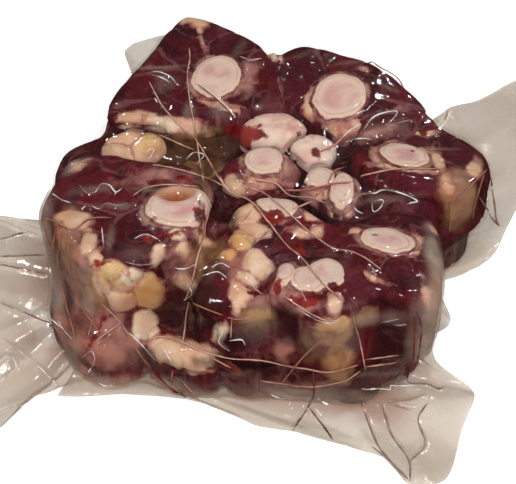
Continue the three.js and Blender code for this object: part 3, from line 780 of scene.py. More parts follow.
BACK_PATCHES = back_patches(48)
PLACED = {kind: place_patches(patches) + BACK_PATCHES[kind] for kind, patches in PATCHES.items()}
PLACED_STAINS, PLACED_MILK_AND_SHEEN_PATCHES = place_patches(STAINS), [place_patches([milk_and_sheen[:5]]) for milk_and_sheen in MILK_AND_SHEEN_PATCHES]
SOFT_KINDS = ("fat", "yellow", "white")


def lobe_seams(points):
    """Millimetres to the line between two neighbouring lobes of fat, at most 10."""
    lobes = [patch_distance(points, [lobe]) for kind in SOFT_KINDS for lobe in PLACED[kind]]
    first, second = np.partition(np.array(lobes), 1, axis=0)[:2]
    return np.minimum((second - first) / 2, 10)


def milk_and_sheen_share(points):
    """How milky the film is at each point, from 0 to 1, counting the painted sheen streaks as milk."""
    uneven = 0.5 * wobble(points, 7)
    shares = []
    for (*_, wide, high, _, strength), placed in zip(MILK_AND_SHEEN_PATCHES, PLACED_MILK_AND_SHEEN_PATCHES):
        soft = min(wide, high, 6) / 2
        away = patch_distance(points, placed)
        shares.append(strength * (1 - smoothstep(-soft, soft, away + uneven * soft)))
    return np.max(shares, axis=0)


print("patches that met the film:", {kind: len(placed) for kind, placed in PLACED.items()})

# %% [markdown]
# ## Soft lumps push the film out
# Fat lobes and slack flesh bulge, and the tight film takes their form. One function gives the
# swelling at any point. The contents and the film both use it, so they stay the same distance apart.

# %% Swelling
FAT_SWELL = 1.6


def swell(points):
    """Millimetres that soft lumps push the surface out."""
    soft = np.min([patch_distance(points, PLACED[kind]) for kind in SOFT_KINDS], axis=0)
    return FAT_SWELL * (1 - smoothstep(-5, 1.5, soft)) + 0.55 * wobble(points, 16) + 0.35 * wobble(points, 7)


film_swell = swell(FILM_POINTS)
print("swelling over the film, least and most:", film_swell.min().round(1), film_swell.max().round(1))

# %% [markdown]
# ## The joints
# Each piece of tail is a short drum. Its outline is its own oval, or a line halfway to a neighbour
# where that comes sooner, so the pieces stand side by side with a thin dark gap. Rings of points
# from the middle to the rim make the sawn face, and rows down the wall make the side. Values on
# the points say how far each one is from bone, fat, blood and the membranes between muscles, in
# millimetres. Distances blend smoothly over a mesh, so the material can turn them into crisp edges
# that are much finer than the mesh.

# %% Outline between neighbours
AROUND = 220
RINGS = {True: 52, False: 12}  # rings over a face that shows, and over one that is hidden
WALL_ROWS = 34
CLIP_ROUND = 4


def clipped_reach(joint, rivals, angles):
    """How far a joint reaches in each direction before its outline or a neighbour stops it."""
    own = outline_radius(joint, angles)
    shares = np.linspace(0.1, 1, 150)[:, None]
    x = joint["x"] + shares * own * np.cos(angles)
    y = joint["y"] + shares * own * np.sin(angles)
    mine = side_distance(joint, x, y)
    taken = np.zeros(x.shape, bool)
    for rival in rivals:
        taken |= side_distance(rival, x, y) < mine + joint["gap"] + rival["gap"]
    first = np.where(taken.any(axis=0), shares[taken.argmax(axis=0), 0], 1.0)
    smooth = sum(np.roll(first, k) for k in range(-3, 4)) / 7
    return np.minimum(smooth, first + 0.02) * own


def near(joint, others):
    """The other pieces that are close enough to meet a joint."""
    def reach(piece):
        return max(piece["rx"], piece["ry"])

    def away(piece):
        return math.hypot(piece["x"] - joint["x"], piece["y"] - joint["y"])

    return [other for other in others if other["name"] != joint["name"]
            and away(other) < 1.3 * (reach(other) + reach(joint))]


def rivals_of(joint):
    if joint in UPPER_JOINTS:
        return near(joint, [o for o in UPPER_JOINTS if joint["low"] or not o["low"]])
    deep = [o for o in UPPER_JOINTS if o["foot"] < 20]
    return near(joint, deep + LOWER_JOINTS)


test_angles = np.linspace(0, 2 * math.pi, AROUND, endpoint=False)
test_reach = clipped_reach(JOINTS["F"], rivals_of(JOINTS["F"]), test_angles)
print("reach of joint F, least and most:", test_reach.min().round(1), test_reach.max().round(1))

# %% Muscles and membranes
def muscle_fields(joint, points, seed):
    """Millimetres to the nearest membrane between two muscles, and a shade from -1 to 1 for each muscle."""
    random = np.random.default_rng(seed)
    count = joint["muscles"]
    middle = np.array(joint["bones"][0][:2]) if joint["bones"] else np.zeros(2)
    seeds = []
    for k in range(count):
        angle = 2 * math.pi * (k + random.uniform(-0.25, 0.25)) / count
        share = random.uniform(0.55, 0.68) if k % 2 else random.uniform(0.74, 0.86)
        reach = outline_radius(joint, angle)
        seeds.append((1 - share) * middle + share * reach * np.array([math.cos(angle), math.sin(angle)]))
    upright = points * (1, 1, 0.3)
    plan = points[:, :2] + 2.6 * np.stack([wobble(upright, 9), wobble(upright + 50, 9)], axis=1)
    away = np.linalg.norm(plan[:, None] - np.array(seeds)[None], axis=2)
    order = np.sort(away, axis=1)
    shades = random.uniform(-1, 1, count)
    return (order[:, 1] - order[:, 0]) / 2, shades[away.argmin(axis=1)]


# %% Shape of a joint
def quarter_round(radius, into):
    """How far an edge of a radius has dropped, at a distance into its curve."""
    return radius - np.sqrt(np.maximum(radius**2 - into**2, 0))


def drum(joint, reach, angles, ceiling, rings):
    """Points of a drum: rings over the face, rows down the wall, and two middles."""
    radius = edge_radius(joint)
    own = outline_radius(joint, angles)
    tilt = math.hypot(1, *joint["slope"])

    def top_at(share):
        r = share * reach
        x, y = joint["x"] + r * np.cos(angles), joint["y"] + r * np.sin(angles)
        drop = quarter_round(radius, np.maximum(r - own + radius, 0))
        inner = np.maximum(r - reach + CLIP_ROUND, 0)
        clip_drop = np.where(reach < own - 0.5, quarter_round(CLIP_ROUND, inner), 0)
        z = face_height(joint, x, y) - tilt * np.maximum(drop, clip_drop)
        return np.stack([x, y, np.minimum(z, ceiling(x, y))], axis=1)

    rows = [top_at(share) for share in np.linspace(0, 1, rings + 1)[1:]]
    rim = rows[-1]
    foot = joint["foot"]
    for k in range(1, WALL_ROWS + 1):
        share = k / WALL_ROWS
        z = rim[:, 2] * (1 - share) + foot * share
        rise = np.clip(z - foot, 0, None)
        inset = np.where(rise < radius, quarter_round(radius, radius - rise), 0)
        r = np.maximum(np.minimum(reach, own - inset), 1)
        rows.append(np.stack([joint["x"] + r * np.cos(angles), joint["y"] + r * np.sin(angles), z], axis=1))
    middle = np.array([[joint["x"], joint["y"], 0.0]])
    middle[0, 2] = min(face_height(joint, *middle[0, :2]), float(ceiling(*middle[:, :2].T)[0]))
    under = np.array([[joint["x"], joint["y"], foot]])
    return np.concatenate(rows + [middle, under])


def drum_faces(rows):
    row = np.arange(AROUND)
    faces = []
    for k in range(rows - 1):
        faces += ring_faces(row + k * AROUND, row + (k + 1) * AROUND)
    top, bottom = rows * AROUND, rows * AROUND + 1
    faces += [[top, a, b] for a, b in zip(row, np.roll(row, -1))]
    last = row + (rows - 1) * AROUND
    faces += [[bottom, b, a] for a, b in zip(last, np.roll(last, -1))]
    return faces


# %% [markdown]
# ## Relief of raw meat
# A saw leaves bone flat and meat slightly soft: muscles swell a little between their membranes, the
# bone has a groove round it, and fat stands proud. The relief stays within the film's gap, so that
# nothing pokes through.

# %% Values and relief on a joint
def tissue_values(points):
    """Distances in millimetres to the patches of each kind, with wandering edges."""
    ragged = 1.1 * wobble(points, 6) + 0.5 * wobble(points, 2.6)
    values = {kind: patch_distance(points, placed) + ragged for kind, placed in PLACED.items()}
    values["lobe_seam"] = lobe_seams(points) + 0.3 * wobble(points, 3)
    return values


def softest(values):
    """Millimetres to the nearest fat of any kind."""
    return np.min([values[kind] for kind in SOFT_KINDS], axis=0)


def rays(x, y, bones):
    """Direction from the nearest of the bones, with the distance as a third number."""
    middles = np.array([bone[:2] for bone in bones] or [(0, 0)], float)
    dx, dy = x[:, None] - middles[:, 0], y[:, None] - middles[:, 1]
    away = np.maximum(np.hypot(dx, dy), 0.5)
    first = away.argmin(axis=1)[:, None]
    dx, dy, away = (np.take_along_axis(v, first, axis=1)[:, 0] for v in (dx, dy, away))
    return np.stack([dx / away, dy / away, away / 30], axis=1)


NO_BONE = 30.0


def joint_values(joint, points, wall, seed):
    """The tissue values of a joint, with the ovals given for its sawn face and its own bones."""
    local = points - (joint["x"], joint["y"], 0)
    x, y = local[:, 0], local[:, 1]
    ragged = 0.8 * wobble(points, 4) + 0.4 * wobble(points, 1.9)
    values = tissue_values(points)
    values["septum"], values["shade"] = muscle_fields(joint, local, seed)
    on_face = wall < 0.5
    for kind, key in (("fat", "fats"), ("red", "bloods"), ("pink", "pinks")):
        own = oval_distance(x, y, joint[key]) + ragged * (0.5 if kind == "red" else 1)
        values[kind] = np.where(on_face, np.minimum(own, np.maximum(values[kind], -6)), values[kind])
    uneven = 0.9 * wobble(points, 8) + 0.4 * wobble(points, 3)
    values["bone"] = np.where(on_face, oval_distance(x, y, joint["bones"]) + uneven, NO_BONE)
    bowl = oval_distance(x, y, [joint["bowl"]]) if "bowl" in joint else np.full(len(x), FAR)
    values["bowl"] = np.where(on_face, bowl, FAR)
    for kind in PATCHES:
        if kind != "red":
            values[kind] = np.where(values["bone"] < 1.5, np.maximum(values[kind], 2), values[kind])
    values["wall"] = wall
    values["ray"] = rays(x, y, joint["bones"])
    # Depth under the film, which the materials paint as shade, darker the deeper.
    values["depth"] = -pack_distance(*points.T)
    return values


def joint_relief(values, points):
    """Millimetres that each point sinks, or stands proud if below zero."""
    groove = (0.45 + 0.9 * values["wall"]) * bell(values["septum"], 0.9) * smoothstep(0, 4, values["bone"])
    ring = 0.9 * bell(values["bone"] - 1.2, 0.9) + 0.18 * bell(values["bone"] + 1.9, 0.6)
    soft = softest(values)
    proud = -0.45 * (1 - smoothstep(-2.5, 0.6, soft)) - 0.25 * (1 - smoothstep(-2, 0, values["bone"]))
    # Painted shade goes with this: dark patches are sunk as small hollows and painted near-black.
    hollow = 0.8 * (1 - smoothstep(-3, 0.5, values["dark"]))
    hollow = hollow + 0.7 * bell(values["lobe_seam"], 0.8) * (soft < 1)
    grain = 0.16 * wobble(points, 1.7) * smoothstep(-1, 1, values["bone"]) + 0.3 * wobble(points, 6)
    return 0.45 + groove + ring + proud + hollow + grain


def make_joint(joint, seed):
    """One joint: its drum, stopped under what lies over it, with its relief pressed in."""
    upper = joint in UPPER_JOINTS
    rings = RINGS[upper]
    angles = np.linspace(0, 2 * math.pi, AROUND, endpoint=False)
    reach = clipped_reach(joint, rivals_of(joint), angles)
    covers = [] if upper else [o for o in UPPER_JOINTS if o["foot"] >= 20 and not o["low"]]

    def ceiling(x, y):
        limit = np.full(np.shape(x), 200.0)
        for other in covers:
            limit = np.where(side_distance(other, x, y) < 1, np.minimum(limit, other["foot"] - 0.8), limit)
        return limit

    points = drum(joint, reach, angles, ceiling, rings)
    rows = rings + WALL_ROWS
    wall = np.append(np.repeat([0, 1], [rings * AROUND, WALL_ROWS * AROUND]), [0, 1])
    values = joint_values(joint, points, wall, seed)
    sink = joint_relief(values, points) - swell(points)
    dx, dy = points[:, 0] - joint["x"], points[:, 1] - joint["y"]
    away = np.maximum(np.hypot(dx, dy), 1)
    ring_share = np.append(away[:-2] / np.tile(reach, rows), [0, 1])
    side = np.where(wall > 0.5, 1, smoothstep(0.9, 1, ring_share) * 0.5)
    sunk = points.copy()
    sunk[:, 0] -= side * sink * dx / away
    sunk[:, 1] -= side * sink * dy / away
    sunk[:, 2] -= (1 - wall) * sink
    return make_piece("joint_" + joint["name"], sunk, drum_faces(rows), values)


PIECES = {}
for number, joint in enumerate(UPPER_JOINTS + LOWER_JOINTS + [MIDDLE]):
    PIECES[joint["name"]] = make_joint(joint, seed=40 + number)
face_count = sum(len(piece.data.polygons) for piece in PIECES.values())
print("joints and lumps made:", len(PIECES), "with faces:", face_count)

# %% [markdown]
# ## What fills the grooves
# Between the joints lie trimmings, clotted juice and slack fat, pressed flat by the film. They are
# one piece: the film's own form, set in under it far enough that the sawn faces stand above it. In the
# middle, where small bones and gristle knobs crowd together, it lies much deeper, so that dark
# crevices show between them.

# %% Filling between the joints
FILLING_DEPTH = 2.7
CREVICES = [(17, -8, 50, 50, 9), (-64, 19, 26, 22, 5), (-34, -80, 34, 24, 3), (-36, 22, 30, 28, 4)]


def crevice(points, x, y, rx, ry, deep):
    """How much deeper the filling lies in a crevice, at its middle and half sizes in plan."""
    share = np.hypot((points[:, 0] - x) / rx, (points[:, 1] - y) / ry)
    return deep * (1 - smoothstep(0.6, 1, share))


def inward(points, faces, depth):
    """Points moved in along the surface's own normals."""
    mesh = bpy.data.meshes.new("scratch")
    mesh.from_pydata(points, [], faces)
    normals = np.empty(len(points) * 3, np.float32)
    mesh.vertex_normals.foreach_get("vector", normals)
    bpy.data.meshes.remove(mesh)
    return points - normals.reshape(-1, 3) * np.reshape(depth, (-1, 1))


def make_filling():
    points, faces = block_film(cells=150, shoulder_rows=12, side_rows=26)
    values = tissue_values(points)
    values["septum"], values["shade"] = 0.9 + 2.4 * np.abs(wobble(points, 10)), wobble(points, 15)
    values["bone"], values["bowl"] = np.full(len(points), NO_BONE), np.full(len(points), FAR)
    values["wall"], values["ray"] = np.ones(len(points)), rays(points[:, 0], points[:, 1], [])
    lumps = 0.9 * wobble(points, 8) + 0.5 * wobble(points, 3.5)
    hollow = np.max([crevice(points, *place) for place in CREVICES], axis=0)
    depth = FILLING_DEPTH + hollow + lumps - 0.9 * (1 - smoothstep(-2, 1, softest(values)))
    # Under dark patches the filling lies deeper, and the depth shade paints it darker too.
    depth = depth + 1.2 * (1 - smoothstep(-3, 1, values["dark"]))
    sunk = inward(points, faces, np.maximum(depth, 1.3) - swell(points))
    sunk[:, 2] = np.maximum(sunk[:, 2], 0.6)
    # The materials read this depth as painted shade: the deeper the filling lies, the darker it is painted.
    values["depth"] = depth
    return make_piece("filling", sunk, faces, values)


PIECES["filling"] = make_filling()
print("faces in the filling:", len(PIECES["filling"].data.polygons))

# %% [markdown]
# ## Shader helpers
# A material is a small network. These helpers add a node, wire it, and return the socket that the
# next node reads, so a material below reads from top to bottom like a recipe.

# %% Node helpers
def new_tree(name, kind="ShaderNodeTree"):
    return bpy.data.node_groups.new(name, kind)


def put(tree, kind, inputs=None, **settings):
    """Adds a node. Inputs are numbers, colours or sockets, by name or number."""
    node = tree.nodes.new(kind)
    for key, value in settings.items():
        setattr(node, key, value)
    for key, value in (inputs or {}).items():
        if isinstance(value, bpy.types.NodeSocket):
            tree.links.new(value, node.inputs[key])
        else:
            node.inputs[key].default_value = value
    return node


def blend(tree, share, low, high):
    """A colour between two, by a share that is a socket or a number."""
    node = put(tree, "ShaderNodeMix", data_type="RGBA")
    for socket, value in ((node.inputs[0], share), (node.inputs[6], low), (node.inputs[7], high)):
        if isinstance(value, bpy.types.NodeSocket):
            tree.links.new(value, socket)
        else:
            socket.default_value = value
    return node.outputs[2]


def sum_up(tree, operation, *values):
    node = put(tree, "ShaderNodeMath", dict(enumerate(values)), operation=operation)
    return node.outputs[0]


def fade(tree, value, low, high, to_low=0.0, to_high=1.0):
    node = put(tree, "ShaderNodeMapRange", {0: value, 1: low, 2: high, 3: to_low, 4: to_high},
               interpolation_type="SMOOTHSTEP")
    return node.outputs[0]


def times(tree, a, b):
    return sum_up(tree, "MULTIPLY", a, b)


def minus(tree, a, b):
    return sum_up(tree, "SUBTRACT", a, b)


def vector_sum(tree, operation, a, b):
    return put(tree, "ShaderNodeVectorMath", {0: a, 1: b}, operation=operation).outputs[0]


def noise(tree, place, scale, detail=2.0, distortion=0.0, output="Fac"):
    """Soft random values over space, at a scale in waves per metre."""
    inputs = {"Vector": place, "Scale": scale, "Detail": detail, "Distortion": distortion}
    return put(tree, "ShaderNodeTexNoise", inputs).outputs[output]


def object_place(tree):
    return put(tree, "ShaderNodeTexCoord").outputs["Object"]


def point_value(tree, name):
    return put(tree, "ShaderNodeAttribute", attribute_name=name).outputs["Fac"]


def colour(red, green, blue):
    """A colour given as it looks on a screen, from 0 to 255, as the light values a shader needs."""
    share = np.array([red, green, blue]) / 255
    light = np.where(share <= 0.04045, share / 12.92, ((share + 0.055) / 1.055) ** 2.4)
    return (*light.tolist(), 1.0)


print("screen colour 73, 30, 32 as light:", [round(c, 4) for c in colour(73, 30, 32)])

# %% [markdown]
# ## Effects that several materials share
# `ragged_edge` turns a distance in millimetres into a crisp mask with an uneven edge. `mottle` gives
# soft blotches. `fibre_ends` gives the fine cells that bundles of fibres show where they are sawn
# across. Each is a node group, built once and given its own values in every material.

# %% Group for ragged edges
def new_effect(name, inputs, outputs=("Mask",)):
    """A shader node group with named numbers going in and coming out, its inputs and its place."""
    tree = new_tree(name)
    for key, value in inputs.items():
        tree.interface.new_socket(key, in_out="INPUT", socket_type="NodeSocketFloat").default_value = value
    for key in outputs:
        tree.interface.new_socket(key, in_out="OUTPUT", socket_type="NodeSocketFloat")
    return tree, put(tree, "NodeGroupInput").outputs, object_place(tree)


def make_ragged_edge():
    inputs = {"Distance": 0.0, "Softness": 0.5, "Raggedness": 0.6, "Scale": 600.0}
    tree, given, place = new_effect("ragged_edge", inputs)
    shift = times(tree, minus(tree, noise(tree, place, given["Scale"], 3.0), 0.5), given["Raggedness"])
    uneven = sum_up(tree, "MULTIPLY_ADD", shift, 2.0, given["Distance"])
    inside = times(tree, given["Softness"], -1.0)
    put(tree, "NodeGroupOutput", {"Mask": fade(tree, uneven, inside, given["Softness"], 1.0, 0.0)})
    return tree


# %% Group for soft blotches
def make_mottle():
    tree, given, place = new_effect("mottle", {"Scale": 60.0, "Low": 0.4, "High": 0.6})
    spots = noise(tree, place, given["Scale"], 4.0, 0.6)
    put(tree, "NodeGroupOutput", {"Mask": fade(tree, spots, given["Low"], given["High"])})
    return tree


# %% Group for the ends of meat fibres
def cell_edges(tree, place, scale):
    """How far each place is from the border of its cell, in a pattern of random cells."""
    inputs = {"Vector": place, "Scale": scale}
    return put(tree, "ShaderNodeTexVoronoi", inputs, feature="DISTANCE_TO_EDGE").outputs["Distance"]


def make_fibre_ends():
    tree, given, place = new_effect("fibre_ends", {"Scale": 420.0}, ("Borders", "Height"))
    warp = vector_sum(tree, "MULTIPLY", noise(tree, place, 160.0, output="Color"), (0.004, 0.004, 0.002))
    upright = vector_sum(tree, "MULTIPLY", vector_sum(tree, "ADD", place, warp), (1, 1, 0.25))
    edges = cell_edges(tree, upright, given["Scale"])
    borders, height = fade(tree, edges, 0.02, 0.16, 1.0, 0.0), fade(tree, edges, 0.0, 0.3)
    put(tree, "NodeGroupOutput", {"Borders": borders, "Height": height})
    return tree


# %% Group for strands and marbling
def make_strands():
    """Thin wandering lines, stretched along the height by a share."""
    tree, given, place = new_effect("strands", {"Scale": 60.0, "Upright": 0.3, "Thinness": 0.03})
    stretch = put(tree, "ShaderNodeCombineXYZ", {0: 1.0, 1: 1.0, 2: given["Upright"]}).outputs[0]
    place = vector_sum(tree, "MULTIPLY", place, stretch)
    away = sum_up(tree, "ABSOLUTE", minus(tree, noise(tree, place, given["Scale"], 3.0, 1.1), 0.5))
    line = fade(tree, away, 0.0, given["Thinness"], 1.0, 0.0)
    where = fade(tree, noise(tree, place, 38.0, 1.0), 0.45, 0.62)
    put(tree, "NodeGroupOutput", {"Mask": times(tree, line, where)})
    return tree


RAGGED_EDGE, MOTTLE = make_ragged_edge(), make_mottle()
FIBRE_ENDS, STRANDS = make_fibre_ends(), make_strands()


def use_group(tree, group, output, **inputs):
    node = put(tree, "ShaderNodeGroup", node_tree=group)
    for name, value in inputs.items():
        if isinstance(value, bpy.types.NodeSocket):
            tree.links.new(value, node.inputs[name])
        else:
            node.inputs[name].default_value = value
    return node.outputs[output]


def blotches(tree, scale, low, high):
    return use_group(tree, MOTTLE, "Mask", Scale=scale, Low=low, High=high)


def strands(tree, scale, upright, thinness):
    return use_group(tree, STRANDS, "Mask", Scale=scale, Upright=upright, Thinness=thinness)


def new_material(name):
    material = bpy.data.materials.new(name)
    material.use_nodes = True
    material.node_tree.nodes.clear()
    return material, material.node_tree


print("shared effects:", [g.name for g in (RAGGED_EDGE, MOTTLE, FIBRE_ENDS, STRANDS)])

# %% [markdown]
# ## Sawn meat
# Oxtail muscle is dark maroon, nearly purple where it is wet, with pale membranes between muscles,
# cream fat, and a pink and cream vertebra with a red line round it. The material starts with the
# muscle's colour and lays each tissue over it where its distance says so. The base is soft and barely
# reflects, because juice lies on everything in the bag and the film carries the gloss.

# %% Colours of tissue
MUSCLE_DARK, MUSCLE_RED, MUSCLE_PURPLE = colour(68, 12, 20), colour(102, 20, 28), colour(92, 30, 44)
MUSCLE_SHADOW, MUSCLE_PALE = colour(42, 6, 12), colour(158, 88, 90)
# Near-black red for painted shade in deep places.
PAINTED_DEPTH_SHADE = colour(44, 6, 12)
MEMBRANE, SILVER_SKIN = colour(196, 146, 140), colour(150, 98, 100)
BONE_CREAM, BONE_PINK, BONE_RIM = colour(236, 208, 192), colour(220, 164, 158), colour(238, 206, 184)
BONE_RED, BONE_GROWTH, BONE_SPECK = colour(96, 24, 32), colour(196, 140, 130), colour(200, 126, 124)
BONE_HALO, FAT_EDGE, FAT_VEIN = colour(222, 176, 158), colour(206, 140, 132), colour(172, 92, 84)
BOWL_BROWN, BOWL_TAN = colour(168, 96, 52), colour(226, 176, 142)
EDGE_INPUTS = ("Softness", "Raggedness", "Scale")
LAYERS = {  # light colour, deep colour, strength, and the three inputs of the edge
    "pink": ((206, 150, 140), (142, 84, 82), 0.75, (2.4, 4.0, 130.0)),
    "olive": ((136, 104, 74), (84, 56, 40), 0.9, (2.4, 3.0, 160.0)),
    "tan": ((204, 160, 118), (158, 112, 82), 0.85, (2.8, 4.0, 110.0)),
    "fat": ((240, 204, 170), (226, 176, 144), 0.95, (1.1, 1.8, 170.0)),
    "yellow": ((236, 202, 148), (222, 174, 120), 0.95, (1.1, 1.6, 170.0)),
    "white": ((246, 224, 196), (236, 200, 170), 0.95, (1.1, 1.8, 170.0)),
    # The dark layer is partly dark meat and partly painted shade in hollows and crevices.
    "dark": ((46, 14, 18), (64, 26, 24), 0.85, (2.8, 3.0, 150.0)),
    "red": ((150, 42, 36), (84, 10, 18), 0.96, (0.8, 3.0, 240.0)),
}


def muscle_streaks(tree):
    """Soft streaks that run out from the bone over a sawn face, and down a wall."""
    ray = put(tree, "ShaderNodeAttribute", attribute_name="ray").outputs["Vector"]
    streaks = fade(tree, noise(tree, ray, 7.0, 4.0, 0.5), 0.48, 0.68)
    where = blotches(tree, 28.0, 0.42, 0.66)
    return times(tree, streaks, where)


def muscle_colour(tree):
    """Dark meat in patches of three shades, with streaks, fibre bundles and pale marbling."""
    shade = fade(tree, point_value(tree, "shade"), -1.0, 1.0)
    base = blend(tree, shade, MUSCLE_DARK, MUSCLE_RED)
    purple = blotches(tree, 45.0, 0.42, 0.68)
    base = blend(tree, times(tree, purple, 0.8), base, MUSCLE_PURPLE)
    dark = blotches(tree, 75.0, 0.46, 0.68)
    base = blend(tree, times(tree, dark, 0.75), base, MUSCLE_SHADOW)
    base = blend(tree, times(tree, muscle_streaks(tree), 0.22), base, MUSCLE_PALE)
    borders = use_group(tree, FIBRE_ENDS, "Borders", Scale=420.0)
    base = blend(tree, times(tree, borders, 0.06), base, MUSCLE_PALE)
    marbling = strands(tree, 48.0, 0.4, 0.03)
    base = blend(tree, times(tree, marbling, 0.16), base, MEMBRANE)
    skin = strands(tree, 90.0, 0.12, 0.12)
    skin = times(tree, skin, times(tree, point_value(tree, "wall"), 0.25))
    return blend(tree, skin, base, SILVER_SKIN)


def lay_over(tree, base, top, distance, strength=1.0, **edge):
    """A tissue laid over others where its distance is below zero, with a ragged edge."""
    mask = use_group(tree, RAGGED_EDGE, "Mask", Distance=distance, **edge)
    if strength != 1.0:
        mask = times(tree, mask, strength)
    return blend(tree, mask, base, top), mask


def lay_patch(tree, base, kind):
    """A patch of one kind of tissue, and for fat its veins, the seams between its lobes and its border."""
    light, deep, strength, edge = LAYERS[kind]
    mottled = blend(tree, blotches(tree, 85.0, 0.36, 0.66), colour(*light), colour(*deep))
    if kind in SOFT_KINDS:
        veins = strands(tree, 65.0, 1.0, 0.022)
        mottled = blend(tree, times(tree, veins, 0.4), mottled, FAT_VEIN)
        seam = minus(tree, point_value(tree, "lobe_seam"), 0.35)
        mottled, _ = lay_over(tree, mottled, FAT_VEIN, seam, 0.7, Softness=0.5, Raggedness=1.2, Scale=300.0)
        around = minus(tree, point_value(tree, kind), 0.7)
        base, _ = lay_over(tree, base, FAT_EDGE, around, 0.5, Softness=0.8, Raggedness=2.8, Scale=200.0)
    edge = dict(zip(EDGE_INPUTS, edge))
    return lay_over(tree, base, mottled, point_value(tree, kind), strength, **edge)


print("tissues in order:", list(LAYERS))


# %% Material of raw tissue
def lay_bone(tree, base):
    """The vertebra's end: a dark line, a cream rim, a pink middle, and in one joint a brown hollow."""
    bone = point_value(tree, "bone")
    halo = blend(tree, blotches(tree, 110.0, 0.4, 0.62), BONE_HALO, MUSCLE_PALE)
    around = minus(tree, bone, 1.9)
    base, _ = lay_over(tree, base, halo, around, 0.6, Softness=1.4, Raggedness=4.0, Scale=120.0)
    line = minus(tree, bone, 0.45)
    base, _ = lay_over(tree, base, BONE_RED, line, 0.7, Softness=0.35, Raggedness=0.9, Scale=260.0)
    pink = blotches(tree, 70.0, 0.36, 0.62)
    middle = fade(tree, bone, -7.5, -2.5, 0.9, 0.0)
    colours = blend(tree, times(tree, pink, middle), BONE_CREAM, BONE_PINK)
    colours = blend(tree, fade(tree, bone, -2.8, -1.4), colours, BONE_RIM)
    broken = blotches(tree, 90.0, 0.35, 0.6)
    growth = fade(tree, sum_up(tree, "ABSOLUTE", sum_up(tree, "ADD", bone, 1.9)), 0.1, 0.55, 0.5, 0.0)
    colours = blend(tree, times(tree, growth, broken), colours, BONE_GROWTH)
    specks = blotches(tree, 380.0, 0.64, 0.74)
    colours = blend(tree, times(tree, specks, 0.4), colours, BONE_SPECK)
    base, mask = lay_over(tree, base, colours, bone, 1.0, Softness=0.35, Raggedness=0.5, Scale=300.0)
    bowl = point_value(tree, "bowl")
    base, _ = lay_over(tree, base, BOWL_TAN, bowl, 0.9, Softness=1.6, Raggedness=0.6, Scale=300.0)
    inner = sum_up(tree, "ADD", bowl, 2.6)
    base, _ = lay_over(tree, base, BOWL_BROWN, inner, 0.95, Softness=2.2, Raggedness=0.8, Scale=300.0)
    return base, mask


def make_tissue_material():
    material, tree = new_material("raw_tissue")
    base = muscle_colour(tree)
    base, _ = lay_patch(tree, base, "pink")
    thinning = fade(tree, blotches(tree, 30.0, 0.3, 0.7), 0.0, 1.0, -0.2, 1.1)
    septum = minus(tree, point_value(tree, "septum"), thinning)
    base, _ = lay_over(tree, base, MEMBRANE, septum, 0.18, Softness=0.4, Raggedness=0.9, Scale=400.0)
    base, _ = lay_patch(tree, base, "olive")
    base, _ = lay_patch(tree, base, "tan")
    base, fat_mask = lay_patch(tree, base, "fat")
    for kind in ("yellow", "white", "dark"):
        base, _ = lay_patch(tree, base, kind)
    # Painted shade: points deep under the film turn towards near-black red, darker the deeper.
    base = blend(tree, fade(tree, point_value(tree, "depth"), 2.6, 9.0, 0.0, 0.8), base, PAINTED_DEPTH_SHADE)
    base, bone_mask = lay_bone(tree, base)
    base, _ = lay_patch(tree, base, "red")
    height = use_group(tree, FIBRE_ENDS, "Height", Scale=420.0)
    height = sum_up(tree, "MULTIPLY_ADD", noise(tree, object_place(tree), 900.0), 0.6, height)
    bump = put(tree, "ShaderNodeBump", {"Strength": 0.3, "Distance": 0.0004, "Height": height}).outputs[0]
    rough = fade(tree, sum_up(tree, "MAXIMUM", fat_mask, bone_mask), 0.0, 1.0, 0.45, 0.6)
    shader = put(tree, "ShaderNodeBsdfPrincipled", {"Base Color": base, "Roughness": rough, "Normal": bump,
                                                    "Specular IOR Level": 0.06,
                                                    "Subsurface Weight": 0.15, "Subsurface Scale": 0.003,
                                                    "Subsurface Radius": (1.0, 0.35, 0.25)})
    put(tree, "ShaderNodeOutputMaterial", {"Surface": shader.outputs[0]})
    return material


TISSUE = make_tissue_material()
print("nodes in the tissue material:", len(TISSUE.node_tree.nodes))

# %% [markdown]
# ## Gristle and slack tissue
# Gristle knobs are smooth, milky and pink where blood has soaked in. The slack tissue in the hollow
# is olive brown and wet. Two materials made by one function give both, and they share the joints'
# values, so blood spots work the same way. Fat needs none of its own: it is a layer of raw tissue.

# %% Material of lumps
def make_lump_material(name, light, deep, stain, fleck_scale, lobes):
    """A mottled lump with blood soaked in, and faint lobes at a scale in cells per metre."""
    material, tree = new_material(name)
    base = blend(tree, blotches(tree, fleck_scale, 0.38, 0.66), light, deep)
    stains = blotches(tree, fleck_scale * 1.7, 0.58, 0.78)
    base = blend(tree, times(tree, stains, 0.6), base, stain)
    seams = use_group(tree, FIBRE_ENDS, "Borders", Scale=lobes)
    base = blend(tree, times(tree, seams, 0.2), base, stain)
    base, _ = lay_patch(tree, base, "red")
    # Painted shade: the deeper the lump lies under the film, the darker it is painted.
    base = blend(tree, fade(tree, point_value(tree, "depth"), 4.0, 12.0, 0.0, 0.75), base, PAINTED_DEPTH_SHADE)
    height = use_group(tree, FIBRE_ENDS, "Height", Scale=lobes)
    bump = put(tree, "ShaderNodeBump", {"Strength": 0.3, "Distance": 0.0006, "Height": height}).outputs[0]
    shader = put(tree, "ShaderNodeBsdfPrincipled", {"Base Color": base, "Roughness": 0.45, "Normal": bump,
                                                    "Specular IOR Level": 0.1,
                                                    "Subsurface Weight": 0.2, "Subsurface Scale": 0.004,
                                                    "Subsurface Radius": (1.0, 0.6, 0.4)})
    put(tree, "ShaderNodeOutputMaterial", {"Surface": shader.outputs[0]})
    return material


